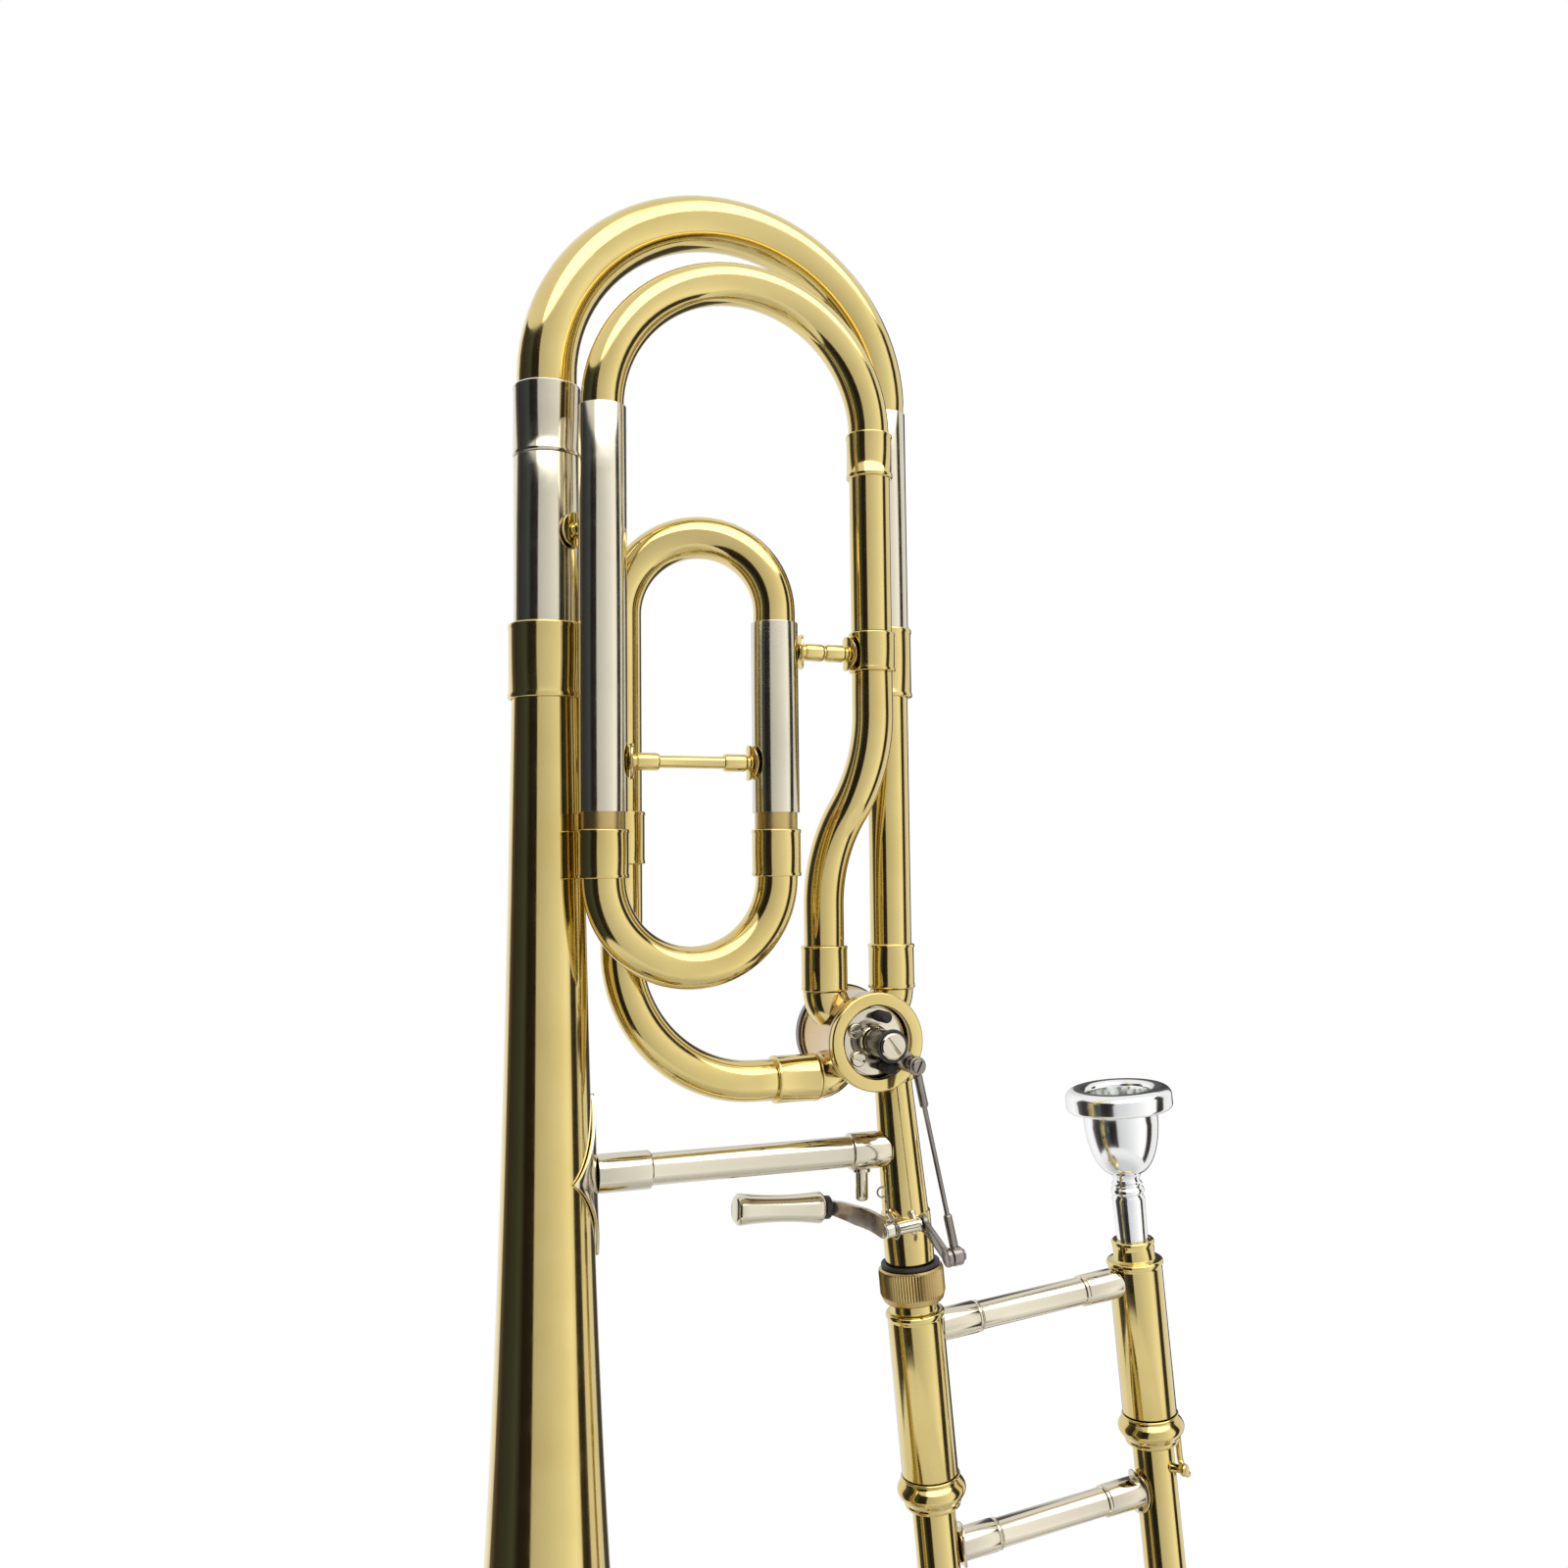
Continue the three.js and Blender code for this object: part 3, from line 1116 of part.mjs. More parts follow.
function valveLink() {
  const angle = stopArmRest;
  const top = toNeck(point(
    valveX + STOP_ARM_REACH * Math.cos(angle),
    -STOP_ARM_FRONT - SEAT_GAP,
    valveZ + STOP_ARM_REACH * Math.sin(angle),
  ));
  const eyeY = top.y - LINK_EYE_THICKNESS / 2;
  const bottom = point(
    linkArmFace + SEAT_GAP + LINK_EYE_THICKNESS / 2,
    LEVER_AXLE_Y - LINK_ARM_REACH * Math.cos(leverTurn / 2),
    -LEVER_DROP - LINK_ARM_REACH * Math.sin(leverTurn / 2),
  );
  const upper = point(top.x, eyeY, top.z);
  const along = bottom.clone().sub(upper);
  const length = along.length();
  const heading = along.clone().normalize();
  const binormal = heading.clone().cross(BACK).normalize();
  const shaft = new Route(upper, heading, binormal)
    .mark(LINK_SLEEVE_RADIUS)
    .run(LINK_EYE_RADIUS + LINK_SLEEVE_LENGTH)
    .mark(LINK_SLEEVE_RADIUS)
    .mark(LINK_ROD_RADIUS)
    .run(length - 2 * (LINK_EYE_RADIUS + LINK_SLEEVE_LENGTH))
    .mark(LINK_ROD_RADIUS)
    .mark(LINK_SLEEVE_RADIUS)
    .run(LINK_EYE_RADIUS + LINK_SLEEVE_LENGTH)
    .mark(LINK_SLEEVE_RADIUS)
    .tube(FINE_SIDES);
  const half = LINK_EYE_THICKNESS / 2;
  const topEye = solid(discY(LINK_EYE_RADIUS, 0, -half, half, TUBE_SIDES));
  const topScrew = solid(discY(LINK_SCREW_RADIUS, 0, -half - LINK_SCREW_HEAD, 0, FINE_SIDES));
  const lowEye = solid(alongX(rod(LINK_EYE_RADIUS, -half, half, TUBE_SIDES)));
  const lowScrew = solid(alongX(rod(LINK_SCREW_RADIUS, 0, half + LINK_SCREW_HEAD, FINE_SIDES)));
  const link = solid(shaft)
    .add(topEye.add(topScrew).translate(upper.x, upper.y, upper.z))
    .add(lowEye.add(lowScrew).translate(bottom.x, bottom.y, bottom.z));
  place(neck, 'valve_link', surface(link), steel);
}

// Neckpipe, receiver and the lock nut that pulls the hand slide into it.
const sleeveEnd = -NECK_TAPER_LENGTH - RECEIVER_SLEEVE_LENGTH;
const receiverEnd = sleeveEnd - RECEIVER_TENON_LENGTH;

function neckpipe() {
  const bore = NECK_TOP_RADIUS - SHEET_WALL;
  const taper = -NECK_TAPER_LENGTH;
  const seatTop = -SLIDE_TENON_TOP + SEAT_GAP;
  const pipe = turned([
    [bore, -SEAT_GAP],
    [NECK_TOP_RADIUS, -SEAT_GAP],
    [NECK_FOOT_RADIUS, taper],
    [RECEIVER_SLEEVE_RADIUS, taper],
    [RECEIVER_SLEEVE_RADIUS, sleeveEnd],
    [NECK_FOOT_RADIUS, sleeveEnd],
    [NECK_FOOT_RADIUS, receiverEnd],
    [RECEIVER_BORE_RADIUS, receiverEnd],
    [RECEIVER_BORE_RADIUS, seatTop],
    [NECK_BORE_RADIUS, seatTop],
  ]);
  place(neck, 'neckpipe', pipe, brass);
  const ringTop = sleeveEnd - SEAT_GAP;
  const ring = sleeve(NECK_RING_RADIUS, NECK_FOOT_RADIUS + SEAT_GAP, ringTop - NECK_RING_HEIGHT, ringTop);
  place(neck, 'receiver_ring', ring, rubber);
}

function lockNut() {
  const top = sleeveEnd - NECK_RING_HEIGHT - 2 * SEAT_GAP;
  const outline = new THREE.Shape();
  const corners = LOCK_NUT_FLUTES * 2;
  for (let corner = 0; corner < corners; corner += 1) {
    const angle = (corner / corners) * Math.PI * 2;
    const radius = LOCK_NUT_RADIUS - (corner % 2) * LOCK_NUT_FLUTE;
    outline[corner === 0 ? 'moveTo' : 'lineTo'](radius * Math.cos(angle), radius * Math.sin(angle));
  }
  outline.closePath();
  const bore = new THREE.Path();
  bore.absarc(0, 0, NECK_FOOT_RADIUS + LOCK_NUT_CLEARANCE, 0, Math.PI * 2, true);
  outline.holes.push(bore);
  const options = { depth: LOCK_NUT_HEIGHT, bevelEnabled: false, curveSegments: VALVE_SIDES / 2 };
  const nut = new THREE.ExtrudeGeometry(outline, options).translate(0, 0, top - LOCK_NUT_HEIGHT);
  place(neck, 'lock_nut', closed(nut), brass);
}

// Thumb lever: a bearing tube on a saddle, an axle with the link arm, and the thumb arm.
function leverSaddle() {
  const half = LEVER_SADDLE_HEIGHT / 2;
  const low = -LEVER_DROP - half;
  const high = -LEVER_DROP + half;
  const wrap = RECEIVER_SLEEVE_RADIUS + SEAT_GAP;
  const block = new THREE.BoxGeometry(LEVER_BEARING_LENGTH, 2 * wrap, LEVER_SADDLE_HEIGHT)
    .translate(LEVER_AXLE_X, -wrap, -LEVER_DROP);
  const plate = wrapPlate(solid(block), RECEIVER_SLEEVE_RADIUS, SEAT_GAP, LEVER_SADDLE_WALL, low, high);
  const web = new THREE.BoxGeometry(LEVER_BEARING_LENGTH, -LEVER_AXLE_Y, LEVER_SADDLE_WEB)
    .translate(LEVER_AXLE_X, LEVER_AXLE_Y / 2, -LEVER_DROP);
  const tube = solid(alongX(rod(LEVER_BEARING_RADIUS, -LEVER_BEARING_LENGTH / 2, LEVER_BEARING_LENGTH / 2)))
    .translate(LEVER_AXLE_X, LEVER_AXLE_Y, -LEVER_DROP);
  const bore = solid(alongX(rod(LEVER_AXLE_RADIUS + SEAT_GAP, -LEVER_BEARING_LENGTH, LEVER_BEARING_LENGTH)))
    .translate(LEVER_AXLE_X, LEVER_AXLE_Y, -LEVER_DROP);
  const pipeClear = solid(rod(wrap, low, high, CLEAR_SIDES));
  const saddle = plate.add(solid(web).subtract(pipeClear)).add(tube).subtract(bore);
  place(neck, 'lever_saddle', surface(saddle), nickel);
}

function leverAxle() {
  const half = LEVER_BEARING_LENGTH / 2;
  const armStart = half + SEAT_GAP;
  const left = -armStart - LEVER_HUB_LENGTH;
  const axle = solid(alongX(rod(LEVER_AXLE_RADIUS, left, armStart, FINE_SIDES)));
  const bar = new THREE.BoxGeometry(LINK_ARM_THICKNESS, LINK_ARM_REACH, LINK_ARM_WIDTH)
    .translate(armStart + LINK_ARM_THICKNESS / 2, -LINK_ARM_REACH / 2, 0);
  const disc = () => solid(alongX(rod(LEVER_HUB_RADIUS, armStart, armStart + LINK_ARM_THICKNESS)));
  const arm = axle.add(solid(bar)).add(disc()).add(disc().translate(0, -LINK_ARM_REACH, 0));
  const mesh = place(neck, 'lever_axle', surface(arm), steel);
  mesh.position.set(LEVER_AXLE_X, LEVER_AXLE_Y, -LEVER_DROP);
  mesh.rotation.x = leverTurn / 2;
}

// A flat bar that follows a curve with its broad side up.
function flatBar(points, width, thickness, steps) {
  const curve = new THREE.CatmullRomCurve3(points);
  const positions = [];
  const index = [];
  for (let step = 0; step <= steps; step += 1) {
    const at = curve.getPoint(step / steps);
    const heading = curve.getTangent(step / steps);
    const across = heading.clone().cross(UP).normalize();
    const lift = across.clone().cross(heading).normalize();
    for (const [side, rise] of [[-1, -1], [1, -1], [1, 1], [-1, 1]]) {
      const corner = at.clone()
        .addScaledVector(across, side * width / 2)
        .addScaledVector(lift, rise * thickness / 2);
      positions.push(corner.x, corner.y, corner.z);
    }
  }
  for (let step = 0; step < steps; step += 1) {
    for (let side = 0; side < 4; side += 1) {
      const next = (side + 1) % 4;
      const [p, q, r, s] = [step * 4 + side, step * 4 + next, step * 4 + 4 + next, step * 4 + 4 + side];
      index.push(p, q, r, p, r, s);
    }
  }
  const last = steps * 4;
  index.push(0, 2, 1, 0, 3, 2, last, last + 1, last + 2, last, last + 2, last + 3);
  const result = new THREE.BufferGeometry();
  result.setAttribute('position', new THREE.Float32BufferAttribute(positions, 3));
  result.setIndex(index);
  return closed(result);
}

const gripZ = -LEVER_DROP + LEVER_GRIP_RISE;
const gripEnd = toNeck(point(leverGripX, LEVER_GRIP_Y, neckTop.z + gripZ)).setZ(gripZ);

function thumbLever() {
  const hubX = LEVER_AXLE_X - LEVER_BEARING_LENGTH / 2 - SEAT_GAP - LEVER_HUB_LENGTH / 2;
  const start = point(hubX, LEVER_AXLE_Y, -LEVER_DROP);
  const collarEnd = gripEnd.x + LEVER_COLLAR_LENGTH;
  const endX = collarEnd + SEAT_GAP + LEVER_ARM_WIDTH / 2;
  const halfRise = LEVER_GRIP_RISE * MID_SHARE;
  const path = [
    start,
    point(hubX - LEVER_HUB_RADIUS, LEVER_AXLE_Y + LEVER_HUB_LENGTH * MID_SHARE, gripZ - halfRise),
    point(hubX - LEVER_HUB_RADIUS, LEVER_AXLE_Y * MID_SHARE, gripZ),
    point(endX, gripEnd.y * MID_SHARE, gripZ),
    point(endX, gripEnd.y + LEVER_ARM_THICKNESS, gripZ),
  ];
  const hub = solid(alongX(rod(LEVER_HUB_RADIUS, -LEVER_HUB_LENGTH / 2, LEVER_HUB_LENGTH / 2)))
    .translate(start.x, start.y, start.z);
  const tang = alongX(rod(LEVER_ARM_THICKNESS, -LEVER_GRIP_LENGTH * MID_SHARE, endX - gripEnd.x, FINE_SIDES))
    .rotateY(LEVER_GRIP_TILT)
    .translate(gripEnd.x, gripEnd.y, gripZ);
  const clear = LEVER_AXLE_RADIUS + SEAT_GAP;
  const bore = solid(alongX(rod(clear, -LEVER_HUB_LENGTH, LEVER_HUB_LENGTH, FINE_SIDES)))
    .translate(start.x, start.y, start.z);
  const arm = solid(flatBar(path, LEVER_ARM_WIDTH, LEVER_ARM_THICKNESS, BEND_STEPS * 2));
  place(neck, 'thumb_lever', surface(arm.add(hub).add(solid(tang)).subtract(bore)), steel);

  const socket = LEVER_ARM_THICKNESS + SEAT_GAP;
  const grip = alongX(turned([
    [socket, 0],
    [LEVER_GRIP_RADIUS - LEVER_GRIP_BEVEL, 0],
    [LEVER_GRIP_RADIUS, -LEVER_GRIP_BEVEL],
    [LEVER_GRIP_WAIST, -LEVER_GRIP_LENGTH * MID_SHARE],
    [LEVER_GRIP_RADIUS, -LEVER_GRIP_LENGTH + LEVER_GRIP_BEVEL],
    [LEVER_GRIP_RADIUS - LEVER_GRIP_BEVEL, -LEVER_GRIP_LENGTH],
    [0, -LEVER_GRIP_LENGTH],
    [0, -LEVER_GRIP_LENGTH * MID_SHARE - SEAT_GAP],
    [socket, -LEVER_GRIP_LENGTH * MID_SHARE - SEAT_GAP],
  ]));
  const collar = alongX(sleeve(LEVER_COLLAR_RADIUS, socket, SEAT_GAP, LEVER_COLLAR_LENGTH - SEAT_GAP));
  for (const [name, geometry, material] of [['thumb_grip', grip, nickel], ['lever_collar', collar, rubber]]) {
    const mesh = place(neck, name, geometry, material);
    mesh.position.copy(gripEnd);
    mesh.rotation.y = LEVER_GRIP_TILT;
  }
}

// Hand slide: two barrels on the inner slide, joined by the cork-barrel brace.
const barrelTop = -BARREL_TOP;
const barrelBottom = barrelTop - BARREL_LENGTH;
const barrelBore = BARREL_RADIUS - BARREL_WALL;
const innerTubeTop = barrelTop - INNER_TUBE_SOCKET / 2;
const innerTubeBore = INNER_TUBE_RADIUS - INNER_TUBE_WALL;
const beadBottom = barrelBottom - BARREL_BEAD_LENGTH;

function beadProfile(inner, top, bottom) {
  const height = top - bottom;
  const middle = (top + bottom) / 2;
  const shoulder = (BARREL_RADIUS + BARREL_BEAD_RADIUS) / 2;
  return [
    [BARREL_RADIUS, top],
    [shoulder, top - height * QUARTER_SHARE],
    [BARREL_BEAD_RADIUS, middle + height * EIGHTH_SHARE],
    [BARREL_BEAD_RADIUS, middle - height * EIGHTH_SHARE],
    [shoulder, bottom + height * QUARTER_SHARE],
    [BARREL_RADIUS, bottom],
    [inner, bottom],
  ];
}

function barrelBody(head, bore) {
  const socket = INNER_TUBE_RADIUS + SEAT_GAP;
  const socketEnd = barrelTop - INNER_TUBE_SOCKET;
  return [
    ...head,
    [BARREL_RADIUS - BARREL_WALL, barrelTop],
    [BARREL_RADIUS, barrelTop - BARREL_WALL],
    [BARREL_RADIUS, barrelBottom],
    [barrelBore, barrelBottom],
    [barrelBore, socketEnd],
    [socket, socketEnd],
    [socket, innerTubeTop + SEAT_GAP],
    [bore, innerTubeTop + SEAT_GAP],
  ];
}

function slideBarrels() {
  const tenonRadius = RECEIVER_BORE_RADIUS - SEAT_GAP;
  const shoulder = receiverEnd - SEAT_GAP;
  const left = turned(barrelBody([
    [innerTubeBore, -SLIDE_TENON_TOP],
    [tenonRadius, -SLIDE_TENON_TOP],
    [tenonRadius, shoulder],
    [BARREL_NECK_RADIUS, shoulder],
    [BARREL_NECK_RADIUS, barrelTop],
  ], innerTubeBore));
  const ringTop = barrelBottom + BARREL_WALL;
  const ring = turned([[barrelBore, ringTop], ...beadProfile(barrelBore, ringTop, beadBottom)]);
  place(slide, 'slide_barrel_left', surface(joined(left, ring)), brass);

  const collarTop = barrelTop + RECEIVER_COLLAR_HEIGHT;
  const tipZ = collarTop - SHANK_DEPTH;
  const socketTip = SHANK_TIP_RADIUS + SLIDE_FIT;
  const socketMouth = socketTip + SHANK_TAPER * SHANK_DEPTH;
  const socketFloor = innerTubeTop + SEAT_GAP;
  const mouth = socketTip + SHANK_TAPER * (socketFloor - tipZ);
  const right = turned(barrelBody([
    [mouth, socketFloor],
    [socketMouth, collarTop],
    [RECEIVER_COLLAR_RADIUS, collarTop],
    [RECEIVER_COLLAR_RADIUS, barrelTop],
  ], innerTubeBore));
  place(rightTube, 'slide_barrel_right', right, brass);
}

function slideBrace(name, drop, tubeRadius, saddleRadius) {
  const ends = tubeRadius + SLIDE_BRACE_FERRULE_LENGTH;
  const bar = solid(alongX(turned([
    [0, 0],
    [SLIDE_BRACE_FERRULE_RADIUS, 0],
    [SLIDE_BRACE_FERRULE_RADIUS, ends],
    [SLIDE_BRACE_RADIUS, ends],
    [SLIDE_BRACE_RADIUS, SLIDE_SPACING - ends],
    [SLIDE_BRACE_FERRULE_RADIUS, SLIDE_SPACING - ends],
    [SLIDE_BRACE_FERRULE_RADIUS, SLIDE_SPACING],
    [0, SLIDE_SPACING],
  ])));
  const reach = SLIDE_BRACE_FERRULE_RADIUS + OVERRUN;
  let brace = bar;
  if (saddleRadius > 0) {
    const skin = () => solid(rod(tubeRadius + SEAT_GAP + OUTER_SADDLE_WALL, -reach, reach));
    const disc = solid(alongX(rod(saddleRadius, 0, SLIDE_SPACING)));
    brace = brace.add(disc.intersect(skin())).add(disc.intersect(skin().translate(SLIDE_SPACING, 0, 0)));
  }
  const clear = () => solid(rod(tubeRadius + SEAT_GAP, -reach, reach));
  brace = brace.subtract(clear()).subtract(clear().translate(SLIDE_SPACING, 0, 0));
  place(slide, name, surface(brace), nickel).position.z = -drop;
}

function innerTubes() {
  const stocking = INNER_TUBE_RADIUS + STOCKING_RISE;
  const stockingTop = -INNER_TUBE_END + STOCKING_LENGTH;
  for (const [name, parent] of [['inner_slide_tube_left', slide], ['inner_slide_tube_right', rightTube]]) {
    const tube = turned([
      [innerTubeBore, innerTubeTop],
      [INNER_TUBE_RADIUS, innerTubeTop],
      [INNER_TUBE_RADIUS, stockingTop],
      [stocking, stockingTop],
      [stocking, -INNER_TUBE_END],
      [innerTubeBore, -INNER_TUBE_END],
    ]);
    place(parent, name, tube, silver);
  }
}

// Water key: a sprung lever with a pad that shuts a nipple on the crook.
const keyPadBack = CROOK_TUBE_RADIUS + WATER_NIPPLE_HEIGHT + SEAT_GAP;
const keyArmBack = keyPadBack + WATER_KEY_PAD_DEPTH;
const keyArmFront = keyArmBack + WATER_KEY_ARM_THICKNESS;
const keyAxleY = -(keyArmBack + keyArmFront) / 2;
const keyReach = (SLIDE_SPACING / 2) * Math.sin(WATER_KEY_REACH_ANGLE);
const keyOffset = (SLIDE_SPACING / 2) * (1 - Math.cos(WATER_KEY_REACH_ANGLE));

// Local X runs along the crook towards the left tube, and local Z points out of the bend.
function alongCrook(body, centre) {
  const degrees = THREE.MathUtils.radToDeg(WATER_KEY_ANGLE);
  const out = SLIDE_SPACING / 2;
  return body.translate(0, 0, out).rotate(0, -90 - degrees, 0).translate(centre.x, centre.y, centre.z);
}

function waterPosts(centre) {
  const side = (WATER_KEY_BARREL_LENGTH + WATER_POST_THICKNESS) / 2 + SEAT_GAP;
  const root = CROOK_TUBE_RADIUS - 2 * SHEET_WALL;
  const front = keyArmFront;
  const nippleRoot = CROOK_TUBE_RADIUS - SHEET_WALL;
  const nippleTop = CROOK_TUBE_RADIUS + WATER_NIPPLE_HEIGHT;
  let posts = solid(discY(WATER_NIPPLE_RADIUS, 0, -nippleTop, -nippleRoot, FINE_SIDES))
    .translate(-keyReach, 0, -keyOffset);
  for (const turn of [-1, 1]) {
    const plate = new THREE.BoxGeometry(WATER_POST_WIDTH, front - root, WATER_POST_THICKNESS)
      .translate(0, -(front + root) / 2, turn * side);
    posts = posts.add(solid(plate));
  }
  const pin = solid(rod(WATER_KEY_PIN_RADIUS, -side, side, FINE_SIDES)).translate(0, keyAxleY, 0);
  return alongCrook(posts.add(pin), centre);
}

function nippleBore(centre) {
  const front = CROOK_TUBE_RADIUS + WATER_NIPPLE_HEIGHT + OVERRUN;
  const bore = solid(discY(WATER_NIPPLE_BORE, 0, -front, -CROOK_TUBE_RADIUS / 2, FINE_SIDES));
  return alongCrook(bore.translate(-keyReach, 0, -keyOffset), centre);
}

function waterKey(centre) {
  const half = WATER_KEY_BARREL_LENGTH / 2;
  const depth = WATER_KEY_ARM_THICKNESS;
  const bar = new THREE.BoxGeometry(keyReach + WATER_KEY_FINGER_LENGTH, depth, WATER_KEY_ARM_WIDTH)
    .translate((WATER_KEY_FINGER_LENGTH - keyReach) / 2, keyAxleY, 0);
  const finger = solid(discY(WATER_KEY_FINGER_RADIUS, 0, -keyArmFront, -keyArmBack, TUBE_SIDES))
    .translate(WATER_KEY_FINGER_LENGTH, 0, 0);
  const pad = solid(discY(WATER_KEY_PAD_RADIUS, 0, -keyArmFront, -keyPadBack, TUBE_SIDES))
    .translate(-keyReach, 0, -keyOffset);
  const barrel = solid(rod(WATER_KEY_BARREL_RADIUS, -half, half, TUBE_SIDES)).translate(0, keyAxleY, 0);
  const pin = solid(rod(WATER_KEY_PIN_RADIUS + SEAT_GAP, -half - OVERRUN, half + OVERRUN, TUBE_SIDES))
    .translate(0, keyAxleY, 0);
  const key = solid(bar).add(finger).add(pad).add(barrel).subtract(pin);
  place(slide, 'water_key', surface(alongCrook(key, centre)), nickel);
}

// Outer slide: two tubes, their brace, the crook with its ferrules, bumper and water key.
function outerSlide() {
  const crookBore = CROOK_TUBE_RADIUS - SHEET_WALL;
  for (const [name, parent] of [['outer_slide_tube_left', slide], ['outer_slide_tube_right', rightTube]]) {
    const tube = sleeve(OUTER_TUBE_RADIUS, OUTER_TUBE_BORE_RADIUS, -OUTER_TUBE_END, -OUTER_TUBE_TOP);
    let body = tube;
    if (parent === rightTube) {
      const root = OUTER_TUBE_BORE_RADIUS;
      const stud = solid(alongX(rod(CATCH_STUD_RADIUS, root, root + CATCH_STUD_REACH, FINE_SIDES)))
        .rotate(0, 0, THREE.MathUtils.radToDeg(CATCH_STUD_ANGLE))
        .translate(0, 0, -CATCH_STUD_DROP);
      body = surface(solid(tube).add(stud));
    }
    place(parent, name, body, brass);
  }
  const ferruleTop = -OUTER_TUBE_END + CROOK_FERRULE_LENGTH / 2;
  const seat = OUTER_TUBE_RADIUS + SEAT_GAP;
  const tubeSeat = -OUTER_TUBE_END - SEAT_GAP;
  const low = ferruleTop - CROOK_FERRULE_LENGTH;
  const bend = new Route(point(0, 0, ferruleTop), UP.clone().negate(), BACK.clone().negate())
    .mark(CROOK_FERRULE_RADIUS, seat)
    .run(ferruleTop - tubeSeat)
    .mark(CROOK_FERRULE_RADIUS, seat)
    .mark(CROOK_FERRULE_RADIUS, crookBore)
    .run(tubeSeat - low)
    .mark(CROOK_FERRULE_RADIUS, crookBore)
    .mark(CROOK_TUBE_RADIUS, crookBore)
    .arc(SLIDE_SPACING / 2, Math.PI, BOW_STEPS, same(CROOK_TUBE_RADIUS), same(crookBore))
    .mark(CROOK_FERRULE_RADIUS, crookBore)
    .run(tubeSeat - low)
    .mark(CROOK_FERRULE_RADIUS, crookBore)
    .mark(CROOK_FERRULE_RADIUS, seat)
    .run(ferruleTop - tubeSeat)
    .mark(CROOK_FERRULE_RADIUS, seat);
  const arcTop = point(SLIDE_SPACING / 2, 0, low);
  const crook = solid(bend.tube()).add(waterPosts(arcTop)).subtract(nippleBore(arcTop));
  place(slide, 'slide_crook', surface(crook), brass);
  waterKey(arcTop);
  const bottom = low - SLIDE_SPACING / 2 - CROOK_TUBE_RADIUS - SEAT_GAP;
  const bumper = turned([
    [0, bottom],
    [BUMPER_RADIUS * MID_SHARE, bottom],
    [BUMPER_RADIUS * MID_SHARE, bottom - BUMPER_LENGTH * MID_SHARE],
    [BUMPER_RADIUS, bottom - BUMPER_LENGTH * MID_SHARE],
    [BUMPER_RADIUS, bottom - BUMPER_LENGTH],
    [0, bottom - BUMPER_LENGTH],
  ]);
  place(slide, 'slide_bumper', bumper, rubber).position.x = SLIDE_SPACING / 2;
}

// Slide lock: the beaded ring under the right-hand barrel, with a wire hook that turns under the catch stud.
function slideLock() {
  const bore = OUTER_TUBE_RADIUS + 2 * SLIDE_FIT + SHEET_WALL;
  const top = barrelBottom - SEAT_GAP;
  const ring = solid(turned([[bore, top], ...beadProfile(bore, top, beadBottom)]));
  const half = LOCK_HOOK_WIDTH / 2;
  const reach = (BARREL_RADIUS + BARREL_BEAD_RADIUS) / 2;
  const root = point(reach, half, beadBottom + BARREL_BEAD_LENGTH / 2);
  const wire = new Route(root, UP.clone().negate(), ACROSS)
    .mark(LOCK_HOOK_WIRE)
    .run(LOCK_HOOK_LENGTH)
    .mark(LOCK_HOOK_WIRE)
    .arc(half, -Math.PI / 2, BEND_STEPS, same(LOCK_HOOK_WIRE), same(0))
    .run(half)
    .mark(LOCK_HOOK_WIRE);
  const bored = solid(rod(bore, beadBottom - OVERRUN, top + OVERRUN));
  const lock = ring.add(solid(wire.tube(FINE_SIDES))).subtract(bored);
  place(rightTube, 'slide_lock', surface(lock), brass).rotation.z = LOCK_HOOK_ANGLE;
}

